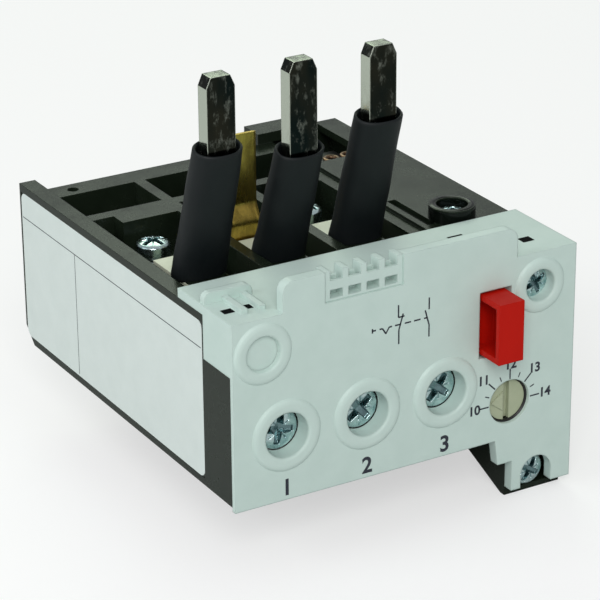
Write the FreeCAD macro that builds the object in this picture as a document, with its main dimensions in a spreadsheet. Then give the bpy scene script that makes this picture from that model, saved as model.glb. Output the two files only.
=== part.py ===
import FreeCAD, Part
import math
import os
import re

import Sketcher
from FreeCAD import Vector

# Thermal overload relay with plug-in line pins.  +X runs along the row of terminals, +Y from the
# front cover to the rear, +Z up along the pins.  The origin is under the middle of the bounding box.

doc = FreeCAD.newDocument("ThermalOverloadRelay")
sheet = doc.addObject("Spreadsheet::Sheet", "Dims")

# Driving sizes in millimetres and degrees.  "rise" is a height over the terminal axis, "edge" a
# distance from the left side, "back" a distance behind the cover's front face.
SIZES = {
    "width": 65.0,
    "body_depth": 77.0,
    "axis_level": 23.6,
    "base_drop": 10.8,
    "deck_rise": 19.4,
    "gap": 0.3,
    "slide_gap": 0.15,
    "running_gap": 0.05,
    "pole_pitch": 15.0,
    "pole_edge": 9.5,
    "upper_row_rise": 15.05,
    "lower_screw_drop": 19.5,
    "aux_edge": 57.8,
    # grey front cover
    "cover_wall": 2.0,
    "cover_rim": 0.9,
    "cover_skirt": 0.7,
    "shelf_wall": 1.6,
    "shelf_back": 17.7,
    "flange_wall": 2.0,
    "flange_back": 9.5,
    "flange_drop": 9.2,
    "parapet_left_edge": 9.1,
    "parapet_right_edge": 53.2,
    "parapet_height": 5.2,
    "parapet_corner": 2.0,
    "well_bore": 8.0,
    "well_ring": 12.0,
    "well_depth": 2.9,
    "ring_rise": 0.3,
    "aux_bore": 5.8,
    "aux_ring": 9.2,
    "blank_edge": 5.4,
    "blank_bore": 6.2,
    "blank_ring": 9.9,
    "blank_depth": 0.8,
    "tab_edge": 49.6,
    "tab_slope": 0.6,
    "tab_drop": 16.1,
    "leg_edge": 53.1,
    "leg_drop": 21.7,
    "arch_edge": 58.1,
    "arch_radius": 3.1,
    "arch_drop": 19.4,
    "tag_wall": 1.4,
    "tag_width": 8.6,
    "tag_height": 1.9,
    "tag_back": 9.4,
    "tag_corner": 1.2,
    "tag_rib_length": 6.3,
    "tag_rib_width": 1.1,
    "tag_rib_height": 0.8,
    "tag_hole": 1.6,
    "tag_hole_back": 4.6,
    "latch_hole_edge": 58.6,
    "slit_edge": 49.1,
    "slit_length": 3.0,
    "slit_width": 0.5,
    "slit_back": 12.0,
    # marker comb in the parapet
    "comb_edge": 16.8,
    "comb_teeth": 5,
    "comb_pitch": 3.37,
    "comb_tooth": 1.05,
    "comb_back": 0.3,
    "comb_depth": 2.7,
    "comb_web": 0.7,
    "comb_bar_low": 1.9,
    "comb_bar_high": 3.5,
    # reset button
    "button_reach": 5.3,
    "button_edge": 48.7,
    "button_rise": 10.5,
    "button_width": 4.8,
    "button_height": 10.6,
    "button_wall": 1.0,
    "slot_edge": 49.1,
    "slot_rise": 10.3,
    "slot_width": 6.2,
    "slot_height": 11.8,
    "collar_lip": 0.7,
    "collar_thickness": 1.2,
    "stem_width": 1.6,
    "stem_height": 3.0,
    "stem_edge": 50.3,
    "stem_back": 22.0,
    "spring_wire": 0.5,
    "spring_outer": 4.6,
    "spring_turns": 4,
    # current setting dial
    "dial_edge": 52.3,
    "dial_drop": 4.8,
    "dial_bore": 7.9,
    "dial_head": 7.2,
    "dial_recess": 1.0,
    "dial_head_thickness": 2.4,
    "dial_shaft": 3.0,
    "dial_shaft_back": 18.6,
    "dial_bead": 3.6,
    "dial_bead_back": 17.7,
    "dial_arrow_length": 2.3,
    "dial_arrow_width": 3.4,
    "dial_slot": 1.1,
    "dial_slot_depth": 0.9,
    "dial_arrow_height": 0.35,
    "cam_radius": 2.7,
    "cam_offset": 0.8,
    "cam_thickness": 2.0,
    "cam_back": 5.0,
    # black housing
    "side_wall": 3.05,
    "floor_wall": 2.0,
    "outer_wall": 2.0,
    "roof_wall": 1.4,
    "step_edge": 45.5,
    "main_inset": 5.2,
    "deck_step": 0.6,
    "rib_1_edge": 18.65,
    "rib_2_edge": 32.85,
    "rib_wall": 2.1,
    "split_edge": 45.9,
    "split_wall": 2.6,
    "cell_front_back": 19.5,
    "cell_rear_inset": 26.4,
    "cell_shelf_rise": 12.0,
    "cell_notch_width": 4.0,
    "cell_notch_inset": 22.9,
    "row_front_inset": 20.4,
    "row_rear_inset": 10.1,
    "chamber_half": 5.6,
    "chamber_back": 23.5,
    "chamber_wall": 2.0,
    "chamber_rise": 10.5,
    "rear_pocket_edge": 60.6,
    "rear_pocket_front_inset": 20.0,
    "rear_pocket_rear_inset": 1.0,
    "lug_left_edge": 45.5,
    "lug_right_edge": 54.6,
    "lug_rise": 2.0,
    "boss_edge": 55.3,
    "boss_back": 22.6,
    "boss_outer": 8.0,
    "boss_bore": 5.5,
    "boss_rise": 3.0,
    "boss_depth": 4.0,
    "groove_edge": 50.5,
    "groove_width": 1.6,
    "groove_front_back": 21.4,
    "groove_rear_back": 34.3,
    "groove_depth": 1.0,
    "corner_hole": 2.0,
    "corner_hole_edge": 6.7,
    "corner_hole_inset": 7.8,
    "corner_hole_depth": 5.0,
    # lower right auxiliary terminal block
    "block_edge": 53.3,
    "block_width": 11.2,
    "block_front_back": 2.3,
    "block_flat_back": 3.4,
    "block_rear_back": 35.0,
    "block_wall": 0.8,
    "block_roof": 1.2,
    "block_right_wall": 1.2,
    "block_pocket_back": 14.0,
    "block_floor": 1.0,
    # rating label on the left side plate
    "label_thickness": 0.1,
    "label_front_back": 9.9,
    "label_rear_inset": 0.6,
    "label_low_drop": 9.5,
    "label_high_rise": 18.0,
    "label_corner": 1.5,
    # load terminals: screw, rising cage and busbar
    "screw_head": 7.0,
    "screw_head_thickness": 2.4,
    "screw_back": 3.1,
    "screw_thread": 4.0,
    "drive_width": 1.1,
    "drive_length": 5.2,
    "drive_depth": 1.3,
    "busbar_back": 14.0,
    "busbar_thickness": 1.2,
    "busbar_width": 7.4,
    "busbar_drop": 4.0,
    "busbar_rise": 7.0,
    "ear_back": 27.2,
    "ear_rise": 0.5,
    "ear_clearance": 0.6,
    "cage_half": 5.2,
    "cage_height": 8.0,
    "cage_wall": 1.0,
    "cage_front_back": 10.0,
    "cage_nut": 1.8,
    "cage_rear_back": 21.8,
    # bimetal strips and their heaters
    "bimetal_thickness": 1.0,
    "bimetal_height": 5.0,
    "bimetal_centre_rise": 3.0,
    "bimetal_front_back": 24.4,
    "bimetal_rear_inset": 14.4,
    "heater_front_back": 27.6,
    "heater_turns": 7,
    "heater_pitch": 2.5,
    "heater_strip": 0.6,
    "heater_width": 1.5,
    "heater_room": 0.8,
    "insulator_wall": 0.65,
    # heat-resistant carrier blocks, line pins and sleeves
    "carrier_half": 3.8,
    "carrier_front_back": 20.5,
    "carrier_rear_back": 37.1,
    "carrier_rise": 17.6,
    "pin_width": 5.1,
    "pin_thickness": 2.8,
    "pin_back": 20.9,
    "pin_rise": 54.1,
    "pin_overlap": 0.9,
    "pin_foot_back": 28.4,
    "pin_chamfer_width": 0.8,
    "pin_chamfer_height": 1.8,
    "tail_width": 4.0,
    "tail_thickness": 1.6,
    "sleeve_wall": 0.5,
    "sleeve_width": 8.8,
    "sleeve_depth": 6.0,
    "sleeve_rise": 41.8,
    "sleeve_short": 3.0,
    # brass link and calibration screws in the cells
    "link_thickness": 0.6,
    "link_width": 6.0,
    "link_right": 2.1,
    "link_back": 37.5,
    "link_rise": 35.8,
    "link_bend_low_rise": 20.5,
    "link_bend_high_rise": 23.0,
    "link_joggle": 1.4,
    "bridge_front_inset": 34.3,
    "bridge_low_rise": 9.0,
    "bridge_rise": 14.2,
    "calibration_inset": 30.6,
    "calibration_head": 6.0,
    "calibration_head_thickness": 2.4,
    "calibration_thread": 3.0,
    "calibration_length": 4.6,
    "calibration_slot_depth": 1.0,
    "calibration_slot": 0.9,
    "calibration_offset": 1.0,
    # trip mechanism
    "slider_travel": 2.5,
    "slider_inset": 15.5,
    "slider_thickness": 3.0,
    "slider_low_drop": 2.0,
    "slider_high_rise": 8.0,
    "slider_left_edge": 3.3,
    "slider_right_edge": 56.2,
    "slider_nose": 1.0,
    "slider_window_margin": 0.3,
    "frame_floor": 1.5,
    "frame_wall": 1.5,
    "frame_front_back": 16.0,
    "frame_rear_inset": 5.0,
    "frame_rise": 16.0,
    "pivot_edge": 59.0,
    "pivot_inset": 27.0,
    "pivot_pin": 3.0,
    "pivot_hub": 6.4,
    "lever_low_drop": 3.0,
    "lever_high_rise": 7.0,
    "pivot_boss": 5.0,
    "pivot_rise": 8.5,
    "lever_arm": 2.0,
    "lever_rear_offset": 2.5,
    "lever_front_offset": 0.7,
    "lever_rear_inset": 13.0,
    "lever_front_inset": 42.0,
    "contact_thickness": 0.4,
    "contact_button": 2.4,
    "contact_button_height": 0.7,
    "contact_low_drop": 1.5,
    "contact_high_rise": 5.5,
    "contact_inset": 39.5,
    "fixed_button_height": 0.5,
    "strip_edge": 54.8,
    "strip_thickness": 0.6,
    "strip_width": 3.4,
    "strip_upper_rise": 12.15,
    "strip_lower_drop": 5.8,
    "strip_foot_drop": 17.6,
    "strip_leg_back": 10.0,
    "compensator_edge": 49.4,
    "compensator_thickness": 0.8,
    "compensator_height": 6.0,
    "compensator_drop": 4.0,
    "compensator_rear_inset": 32.0,
    "compensator_foot_back": 24.0,
    # auxiliary terminals
    "aux_head": 5.0,
    "aux_head_thickness": 1.8,
    "aux_thread": 3.0,
    "aux_back": 3.3,
    "aux_plate_back": 7.6,
    "aux_plate_thickness": 0.9,
    "aux_plate_half": 2.9,
    "aux_plate_top": 2.0,
    "aux_plate_low": 2.2,
    "aux_washer": 5.6,
    "aux_washer_thickness": 0.7,
    "aux_thread_length": 4.0,
    "aux_drive_length": 3.8,
    "aux_drive_width": 0.8,
    "aux_drive_depth": 0.9,
    "boss_screw_head": 4.6,
    "boss_screw_thickness": 1.8,
    "eyelet_outer": 3.3,
    "eyelet_bore": 1.7,
    "eyelet_height": 1.0,
    "eyelet_pitch": 3.6,
    "eyelet_edge": 55.2,
    "eyelet_front_inset": 15.0,
    "eyelet_shelf_rise": 16.0,
    "eyelet_shelf_wall": 1.6,
    "eyelet_shelf_left_edge": 53.6,
    "eyelet_shelf_front_inset": 18.5,
    "eyelet_post_inset": 10.2,
    "eyelet_shelf_rear_inset": 7.0,
}

# Places that follow from the driving sizes, each written once for every piece that uses it.
PLACES = {
    "left": "-width / 2",
    "right": "width / 2",
    "front": "(button_reach - body_depth) / 2",
    "rear": "front + body_depth",
    "base_level": "axis_level - base_drop",
    "floor_level": "base_level + floor_wall",
    "deck_level": "axis_level + deck_rise",
    "shelf_level": "deck_level + shelf_wall",
    "parapet_level": "shelf_level + parapet_height",
    "cover_bottom": "base_level - cover_skirt",
    "cover_inner": "front + cover_wall",
    "pole_1": "left + pole_edge",
    "upper_row": "axis_level + upper_row_rise",
    "lower_row": "axis_level - lower_screw_drop",
    "aux_x": "left + aux_edge",
    "body_left": "left + side_wall",
    "split_left": "left + split_edge",
    "split_right": "left + split_edge + split_wall",
    "compartment_right": "right - outer_wall",
    "button_x": "left + button_edge",
    "button_level": "axis_level + button_rise",
    "slot_x": "left + slot_edge",
    "slot_level": "axis_level + slot_rise",
    "stem_x": "left + stem_edge",
    "dial_x": "left + dial_edge",
    "dial_level": "axis_level - dial_drop",
    "pivot_x": "left + pivot_edge",
    "pivot_y": "rear - pivot_inset",
    "frame_front": "front + frame_front_back",
    "slider_y": "rear - slider_inset",
    "bimetal_level": "axis_level + bimetal_centre_rise",
    "bimetal_x": "-busbar_width / 2 + busbar_thickness + bimetal_thickness / 2",
    "chamber_rear": "front + chamber_back",
    "carrier_level": "axis_level + carrier_rise",
    "cell_shelf": "axis_level + cell_shelf_rise",
    "cell_1_left": "body_left",
    "cell_1_right": "left + rib_1_edge - rib_wall / 2",
    "cell_2_left": "left + rib_1_edge + rib_wall / 2",
    "cell_2_right": "left + rib_2_edge - rib_wall / 2",
    "cell_3_left": "left + rib_2_edge + rib_wall / 2",
    "cell_3_right": "split_left",
}

POLES = (1, 2, 3)


def fill_sheet():
    rows = list(SIZES.items()) + [(name, "=" + text) for name, text in PLACES.items()]
    for row, (name, content) in enumerate(rows, start=1):
        cell = "A%d" % row
        sheet.set(cell, str(content))
        sheet.setAlias(cell, name)
    doc.recompute()


WORD = re.compile(r"\b[a-z][a-z0-9_]*\b(?!\()")


def bound(text):
    """The expression with every size's name pointed at the sheet."""
    return WORD.sub(lambda found: "Dims." + found.group(0), str(text))


def value(text):
    return float(sheet.evalExpression(bound(text)))


def pole_x(pole):
    return "(pole_1 + pole_pitch * %d)" % (pole - 1)


# ---- sketch outlines: each returns a function that draws itself into a sketch ----

def place_point(sketch, curve, point, across, up):
    for kind, size in (("DistanceX", across), ("DistanceY", up)):
        constraint = Sketcher.Constraint(kind, -1, 1, curve, point, value(size))
        number = sketch.addConstraint(constraint)
        sketch.setExpression("Constraints[%d]" % number, bound(size))


def polygon(*corners):
    def draw(sketch):
        first = sketch.GeometryCount
        count = len(corners)
        points = [Vector(value(across), value(up), 0) for across, up in corners]
        for index in range(count):
            line = Part.LineSegment(points[index], points[(index + 1) % count])
            sketch.addGeometry(line, False)
        for index in range(count):
            follower = first + (index + 1) % count
            sketch.addConstraint(Sketcher.Constraint("Coincident", first + index, 2, follower, 1))
        for index, (across, up) in enumerate(corners):
            place_point(sketch, first + index, 1, across, up)
    return draw


def rectangle(low_across, high_across, low_up, high_up):
    return polygon((low_across, low_up), (high_across, low_up), (high_across, high_up), (low_across, high_up))


def circle(across, up, diameter):
    def draw(sketch):
        middle = Vector(value(across), value(up), 0)
        radius = value(diameter) / 2
        curve = sketch.addGeometry(Part.Circle(middle, Vector(0, 0, 1), radius), False)
        place_point(sketch, curve, 3, across, up)
        number = sketch.addConstraint(Sketcher.Constraint("Radius", curve, radius))
        sketch.setExpression("Constraints[%d]" % number, bound("(%s) / 2" % diameter))
    return draw


def faceted(across, up, diameter):
    """Twelve-sided outline for a small round."""
    turns = [math.radians(30 * corner) for corner in range(12)]
    return polygon(*[
        ("%s + (%s) / 2 * (%.6f)" % (across, diameter, math.cos(turn)),
         "%s + (%s) / 2 * (%.6f)" % (up, diameter, math.sin(turn)))
        for turn in turns])


def oval(across, up, length, breadth):
    """A stadium outline, its length along the sketch's first axis."""
    def draw(sketch):
        radius = value(breadth) / 2
        half = "((%s) - (%s)) / 2" % (length, breadth)
        arcs = []
        for side, turn in ((1, -math.pi / 2), (-1, math.pi / 2)):
            middle = "%s + %d * %s" % (across, side, half)
            round_end = Part.Circle(Vector(value(middle), value(up), 0), Vector(0, 0, 1), radius)
            arc = sketch.addGeometry(Part.ArcOfCircle(round_end, turn, turn + math.pi), False)
            place_point(sketch, arc, 3, middle, up)
            arcs.append(arc)
        for start, end, height in ((arcs[0], arcs[1], radius), (arcs[1], arcs[0], -radius)):
            reach = value(half) if height > 0 else -value(half)
            middle = Vector(value(across), value(up) + height, 0)
            line = Part.LineSegment(middle + Vector(reach, 0, 0), middle - Vector(reach, 0, 0))
            number = sketch.addGeometry(line, False)
            sketch.addConstraint(Sketcher.Constraint("Tangent", number, 1, start, 2))
            sketch.addConstraint(Sketcher.Constraint("Tangent", number, 2, end, 1))
        number = sketch.addConstraint(Sketcher.Constraint("Radius", arcs[0], radius))
        sketch.setExpression("Constraints[%d]" % number, bound("(%s) / 2" % breadth))
        sketch.addConstraint(Sketcher.Constraint("Equal", arcs[0], arcs[1]))
    return draw


# ---- features ----

PLANES = {"XY": ("XY_Plane", 1), "XZ": ("XZ_Plane", -1), "YZ": ("YZ_Plane", 1)}


def new_body(name, loose=False):
    body = doc.addObject("PartDesign::Body", name)
    body.Label = name
    body.AllowCompound = loose
    return body


def sketch_on(body, plane, level, outlines):
    role, sense = PLANES[plane]
    sketch = body.newObject("Sketcher::SketchObject", body.Label + "_sketch")
    support = next(item for item in body.Origin.OriginFeatures if item.Role == role)
    sketch.AttachmentSupport = [(support, "")]
    sketch.MapMode = "FlatFace"
    sketch.setExpression("AttachmentOffset.Base.z", bound("%d * (%s)" % (sense, level)))
    for draw in outlines:
        draw(sketch)
    return sketch


def pad(body, plane, low, high, *outlines):
    """Adds the outlines, drawn on the plane and raised from low to high along its third axis."""
    feature = body.newObject("PartDesign::Pad", body.Label + "_pad")
    feature.Profile = sketch_on(body, plane, low, outlines)
    feature.setExpression("Length", bound("(%s) - (%s)" % (high, low)))
    feature.Reversed = PLANES[plane][1] < 0
    body.Tip = feature
    doc.recompute()
    return feature


def pocket(body, plane, low, high, *outlines):
    """Cuts the outlines out between low and high along the plane's third axis."""
    before = body.Shape.Volume
    feature = body.newObject("PartDesign::Pocket", body.Label + "_pocket")
    feature.Profile = sketch_on(body, plane, low, outlines)
    feature.setExpression("Length", bound("(%s) - (%s)" % (high, low)))
    feature.Reversed = PLANES[plane][1] > 0
    body.Tip = feature
    doc.recompute()
    if not body.Shape.Volume < before - 1e-6:
        raise ValueError("a pocket of %s cut nothing" % body.Label)
    return feature


def dress(body, kind, size, picks):
    """Fillet or Chamfer on the picked edges of the body so far."""
    base = body.Tip
    names = ["Edge%d" % (index + 1) for index, edge in enumerate(base.Shape.Edges) if picks(edge)]
    if not names:
        raise ValueError("%s has no such edge" % body.Label)
    feature = body.newObject("PartDesign::" + kind, body.Label + "_" + kind.lower())
    feature.Base = (base, names)
    feature.setExpression("Radius" if kind == "Fillet" else "Size", bound(size))
    body.Tip = feature
    doc.recompute()
    return feature


def straight(axis, **places):
    """Picks straight edges along an axis whose middles have the given coordinates."""
    def picks(edge):
        if edge.Curve.TypeId != "Part::GeomLine":
            return False
        along = getattr(edge.tangentAt(edge.FirstParameter), axis)
        middle = edge.CenterOfMass
        near = all(abs(getattr(middle, name) - value(text)) < 0.01 for name, text in places.items())
        return near and abs(abs(along) - 1) < 1e-6
    return picks


def rounds(diameter, **places):
    """Picks circular edges of a diameter whose centres have the given coordinates."""
    def picks(edge):
        if edge.Curve.TypeId != "Part::GeomCircle":
            return False
        middle = edge.Curve.Center
        near = all(abs(getattr(middle, name) - value(text)) < 0.01 for name, text in places.items())
        return near and abs(2 * edge.Curve.Radius - value(diameter)) < 1e-3
    return picks


def any_of(*picks):
    return lambda edge: any(pick(edge) for pick in picks)


# ---- grey front cover ----

def front_cover():
    body = new_body("front_cover")
    tab_x = "left + tab_edge"
    leg_x = "left + leg_edge"
    tab_low = "axis_level - tab_drop"
    leg_low = "axis_level - leg_drop"
    outline = polygon(
        ("left", "cover_bottom"),
        (tab_x, "cover_bottom"),
        (tab_x + " + tab_slope", tab_low),
        (leg_x, tab_low),
        (leg_x, leg_low),
        ("right", leg_low),
        ("right", "shelf_level"),
        ("left", "shelf_level"),
    )
    pad(body, "XZ", "front", "cover_inner", outline)
    pad(body, "XY", "deck_level", "shelf_level", rectangle("left", "right", "front", "front + shelf_back"))
    side_low = "shelf_level - flange_drop"
    flange = rectangle("front", "front + flange_back", side_low, "shelf_level")
    pad(body, "YZ", "left", "left + flange_wall", flange)
    pad(body, "YZ", "right - flange_wall", "right", flange)
    rim = rectangle("left", "body_left", "cover_bottom", side_low)
    pocket(body, "XZ", "front + cover_rim", "cover_inner", rim)
    parapet(body)
    wells(body)
    slot_low = "slot_level - slot_height / 2"
    slot = rectangle(
        "slot_x - slot_width / 2", "slot_x + slot_width / 2",
        slot_low, slot_low + " + slot_height")
    dial = circle("dial_x", "dial_level", "dial_bore")
    arch_x = "left + arch_edge"
    arch_level = "axis_level - arch_drop"
    arch = circle(arch_x, arch_level, "2 * arch_radius")
    pocket(body, "XZ", "front", "cover_inner", slot, dial, arch)
    doorway = rectangle(arch_x + " - arch_radius", arch_x + " + arch_radius", leg_low, arch_level)
    pocket(body, "XZ", "front", "cover_inner", doorway)
    shelf_details(body)
    return body


def parapet(body):
    low_x = "left + parapet_left_edge"
    high_x = "left + parapet_right_edge"
    pad(body, "XZ", "front", "cover_inner", rectangle(low_x, high_x, "shelf_level", "parapet_level"))
    corners = any_of(straight("y", x=low_x, z="parapet_level"), straight("y", x=high_x, z="parapet_level"))
    dress(body, "Fillet", "parapet_corner", corners)
    comb_x = "left + comb_edge"
    comb_end = comb_x + " + comb_pitch * (comb_teeth - 1) + comb_tooth"
    window = rectangle(comb_x, comb_end, "shelf_level", "parapet_level")
    pocket(body, "XZ", "front", "cover_inner", window)


def wells(body):
    """Screwdriver wells with raised rings and square guides behind them, and the blank boss."""
    wide = [(pole_x(pole), "axis_level", "well_ring", "well_bore") for pole in POLES]
    small = [("aux_x", "upper_row", "aux_ring", "aux_bore")]
    blank = [("left + blank_edge", "upper_row", "blank_ring", "blank_bore")]
    rings = [circle(x, z, ring) for x, z, ring, bore in wide + small + blank]
    pad(body, "XZ", "front - ring_rise", "front", *rings)
    sleeves = [
        rectangle(
            "%s - %s / 2 - cover_rim" % (x, bore), "%s + %s / 2 + cover_rim" % (x, bore),
            "%s - %s / 2 - cover_rim" % (z, bore), "%s + %s / 2 + cover_rim" % (z, bore))
        for x, z, ring, bore in wide]
    pad(body, "XZ", "cover_inner", "front + well_depth", *sleeves)
    bores = [circle(x, z, bore) for x, z, ring, bore in wide + small]
    pocket(body, "XZ", "front - ring_rise", "front + well_depth", *bores)
    for x, z, ring, bore in blank:
        pocket(body, "XZ", "front - ring_rise", "front + blank_depth - ring_rise", circle(x, z, bore))


def shelf_details(body):
    """A low tag wall with two ribs and two latch holes at the left, a latch hole and a slit at the right."""
    wall_left = "left + gap"
    wall = rectangle(wall_left, wall_left + " + tag_width", "front + tag_back", "front + tag_back + tag_wall")
    pad(body, "XY", "shelf_level", "shelf_level + tag_height", wall)
    top = "shelf_level + tag_height"
    ends = any_of(straight("y", x=wall_left, z=top), straight("y", x=wall_left + " + tag_width", z=top))
    dress(body, "Fillet", "tag_corner", ends)
    ribs = []
    holes = []
    for side in (1, 2):
        rib_x = wall_left + " + tag_width * %d / 2 - tag_rib_width * %d" % (side, side)
        ribs.append(rectangle(
            rib_x, rib_x + " + tag_rib_width",
            "front + tag_back - tag_rib_length", "front + tag_back"))
        hole_x = rib_x + " - tag_hole - gap"
        holes.append(rectangle(
            hole_x, hole_x + " + tag_hole", "front + tag_hole_back", "front + tag_hole_back + tag_hole"))
    pad(body, "XY", "shelf_level", "shelf_level + tag_rib_height", *ribs)
    latch_x = "left + latch_hole_edge"
    holes.append(rectangle(
        latch_x + " - tag_hole / 2", latch_x + " + tag_hole / 2",
        "front + tag_hole_back", "front + tag_hole_back + tag_hole"))
    slit_x = "left + slit_edge"
    holes.append(rectangle(
        slit_x + " - slit_length / 2", slit_x + " + slit_length / 2",
        "front + slit_back", "front + slit_back + slit_width"))
    pocket(body, "XY", "deck_level", "shelf_level", *holes)


def marker_comb():
    """Tag carrier of five forked teeth on a web, a bar across them leaving four windows."""
    body = new_body("marker_comb")
    start = "left + comb_edge"
    end = start + " + comb_pitch * (comb_teeth - 1) + comb_tooth"
    face = "front + comb_back"
    back = face + " + comb_depth"
    pad(body, "XZ", face, back, rectangle(start, end, "shelf_level", "shelf_level + comb_bar_low / 4"))
    bar = rectangle(start, end, "shelf_level + comb_bar_low", "shelf_level + comb_bar_high")
    teeth = []
    for index in range(int(value("comb_teeth"))):
        tooth = "%s + comb_pitch * %d" % (start, index)
        teeth.append(rectangle(tooth, tooth + " + comb_tooth", "shelf_level", "parapet_level"))
    pad(body, "XZ", face, back, *teeth)
    pad(body, "XZ", face, face + " + comb_web", bar)
    rear_web = rectangle(start, end, "shelf_level", "shelf_level + comb_bar_high")
    pad(body, "XZ", back + " - comb_web", back, rear_web)
    return body


# ---- black housing ----

def base_housing():
    body = new_body("base_housing")
    step_x = "left + step_edge"
    outline = polygon(
        ("body_left", "cover_inner"),
        ("right", "cover_inner"),
        ("right", "rear"),
        (step_x, "rear"),
        (step_x, "rear - main_inset"),
        ("body_left", "rear - main_inset"),
    )
    pad(body, "XY", "base_level", "deck_level", outline)
    raised = rectangle("split_right", "right", "front + shelf_back", "rear - rear_pocket_front_inset")
    pad(body, "XY", "deck_level", "deck_level + deck_step", raised)
    rebate = rectangle("cover_inner", "front + flange_back", "shelf_level - flange_drop", "deck_level")
    pocket(body, "YZ", "right - flange_wall", "right", rebate)
    terminal_chambers(body)
    cells(body)
    mechanism_room(body)
    deck_details(body)
    return body


def terminal_chambers(body):
    """One chamber per pole behind the cover, open to the front and to the underside for the cable."""
    rooms = []
    for pole in POLES:
        x = pole_x(pole)
        rooms.append(rectangle(
            x + " - chamber_half", x + " + chamber_half", "base_level", "axis_level + chamber_rise"))
    pocket(body, "XZ", "cover_inner", "chamber_rear", *rooms)


def cells(body):
    """Open cells for the heaters, the row of pockets behind them and the passage of the trip slider."""
    cell_front = "front + cell_front_back"
    cell_rear = "rear - cell_rear_inset"
    deep_front = "chamber_rear + chamber_wall"
    columns = [("cell_%d_left" % pole, "cell_%d_right" % pole) for pole in POLES]
    shallow = [rectangle(low, high, cell_front, cell_rear) for low, high in columns]
    pocket(body, "XY", "cell_shelf", "deck_level", *shallow)
    deep = [rectangle(low, high, deep_front, cell_rear) for low, high in columns]
    pocket(body, "XY", "floor_level", "cell_shelf", *deep)
    notches = [rectangle(low, low + " + cell_notch_width", cell_rear, "rear - cell_notch_inset")
               for low, high in columns]
    pocket(body, "XY", "floor_level", "deck_level", *notches)
    row = [rectangle(low, high, "rear - row_front_inset", "rear - row_rear_inset") for low, high in columns]
    pocket(body, "XY", "floor_level", "deck_level", *row)
    passages = []
    for pole in POLES:
        strip_x = "(%s + bimetal_x)" % pole_x(pole)
        passages.append(rectangle(
            strip_x + " - bimetal_thickness - gap", strip_x + " + bimetal_thickness + slider_travel",
            "bimetal_level - bimetal_height / 2 - gap", "bimetal_level + bimetal_height / 2 + gap"))
    pocket(body, "XZ", cell_rear, "rear - row_front_inset", *passages)
    ears = []
    for pole in POLES:
        ear_x = "(%s - busbar_width / 2)" % pole_x(pole)
        ears.append(rectangle(
            ear_x + " - slide_gap", ear_x + " + busbar_thickness + bimetal_thickness + slide_gap",
            "axis_level + ear_rise - slide_gap", "axis_level + chamber_rise"))
    pocket(body, "XZ", "chamber_rear", deep_front, *ears)
    slide = rectangle(
        "slider_y - slider_thickness / 2 - slide_gap", "slider_y + slider_thickness / 2 + slide_gap",
        "axis_level - slider_low_drop - slide_gap", "axis_level + slider_high_rise + slide_gap")
    pocket(body, "YZ", "body_left", "split_right", slide)
    bridges = [rectangle(low, high, "rear - bridge_front_inset", cell_rear) for low, high in columns]
    bridge_top = "axis_level + bridge_rise"
    pad(body, "XY", "axis_level + bridge_low_rise", bridge_top, *bridges)
    threads = [faceted("%s + calibration_offset" % pole_x(pole), "rear - calibration_inset",
                       "calibration_thread + 2 * running_gap") for pole in POLES]
    pocket(body, "XY", bridge_top + " - calibration_length", bridge_top, *threads)


def mechanism_room(body):
    """The right-hand compartment behind the button and the dial, and the open pocket over its rear."""
    room = rectangle("split_right", "compartment_right", "floor_level", "deck_level - roof_wall")
    pocket(body, "XZ", "cover_inner", "rear - rear_pocket_rear_inset", room)
    bay = rectangle(
        "button_x - button_width / 2 - slide_gap", "split_right",
        "slot_level - slot_height / 2 - collar_lip - gap", "deck_level - roof_wall")
    pocket(body, "XZ", "cover_inner", "frame_front", bay)
    rear_pocket = rectangle(
        "split_right", "left + rear_pocket_edge",
        "rear - rear_pocket_front_inset", "rear - rear_pocket_rear_inset")
    pocket(body, "XY", "deck_level - roof_wall", "deck_level", rear_pocket)
    pocket(body, "XY", "base_level", "floor_level", strip_shaft())


def deck_details(body):
    """Boss with its bore, a narrow groove, the rear lug and a small corner hole."""
    boss_x = "left + boss_edge"
    boss_y = "front + boss_back"
    top = "deck_level + boss_rise"
    pad(body, "XY", "deck_level - roof_wall", top, circle(boss_x, boss_y, "boss_outer"))
    pocket(body, "XY", top + " - boss_depth", top, circle(boss_x, boss_y, "boss_bore"))
    groove = rectangle(
        "left + groove_edge - groove_width / 2", "left + groove_edge + groove_width / 2",
        "front + groove_front_back", "front + groove_rear_back")
    deck = "deck_level + deck_step"
    pocket(body, "XY", deck + " - groove_depth", deck, groove)
    lug_x = "left + lug_left_edge"
    lug = rectangle(lug_x, "left + lug_right_edge", "rear - main_inset", "rear")
    pad(body, "XY", "deck_level", "deck_level + lug_rise", lug)
    hole = circle("left + corner_hole_edge", "rear - corner_hole_inset", "corner_hole")
    pocket(body, "XY", "deck_level - corner_hole_depth", "deck_level", hole)


def side_plate():
    """Left side wall, notched for the cover's flange and recessed for the label."""
    body = new_body("side_plate")
    notch_low = "shelf_level - flange_drop"
    outline = polygon(
        ("front + cover_rim", "base_level"),
        ("rear - side_wall", "base_level"),
        ("rear", "base_level + side_wall"),
        ("rear", "deck_level"),
        ("front + flange_back", "deck_level"),
        ("front + flange_back", notch_low),
        ("front + cover_rim", notch_low),
    )
    pad(body, "YZ", "left", "body_left", outline)
    pocket(body, "YZ", "left", "left + label_thickness", label_outline())
    return body


def label_outline():
    return rectangle(
        "front + label_front_back", "rear - label_rear_inset",
        "axis_level - label_low_drop", "axis_level + label_high_rise")


def rating_label():
    body = new_body("rating_label")
    pad(body, "YZ", "left", "left + label_thickness", label_outline())
    corners = []
    for y in ("front + label_front_back", "rear - label_rear_inset"):
        for z in ("axis_level - label_low_drop", "axis_level + label_high_rise"):
            corners.append(straight("x", y=y, z=z))
    dress(body, "Fillet", "label_corner", any_of(*corners))
    return body


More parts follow.
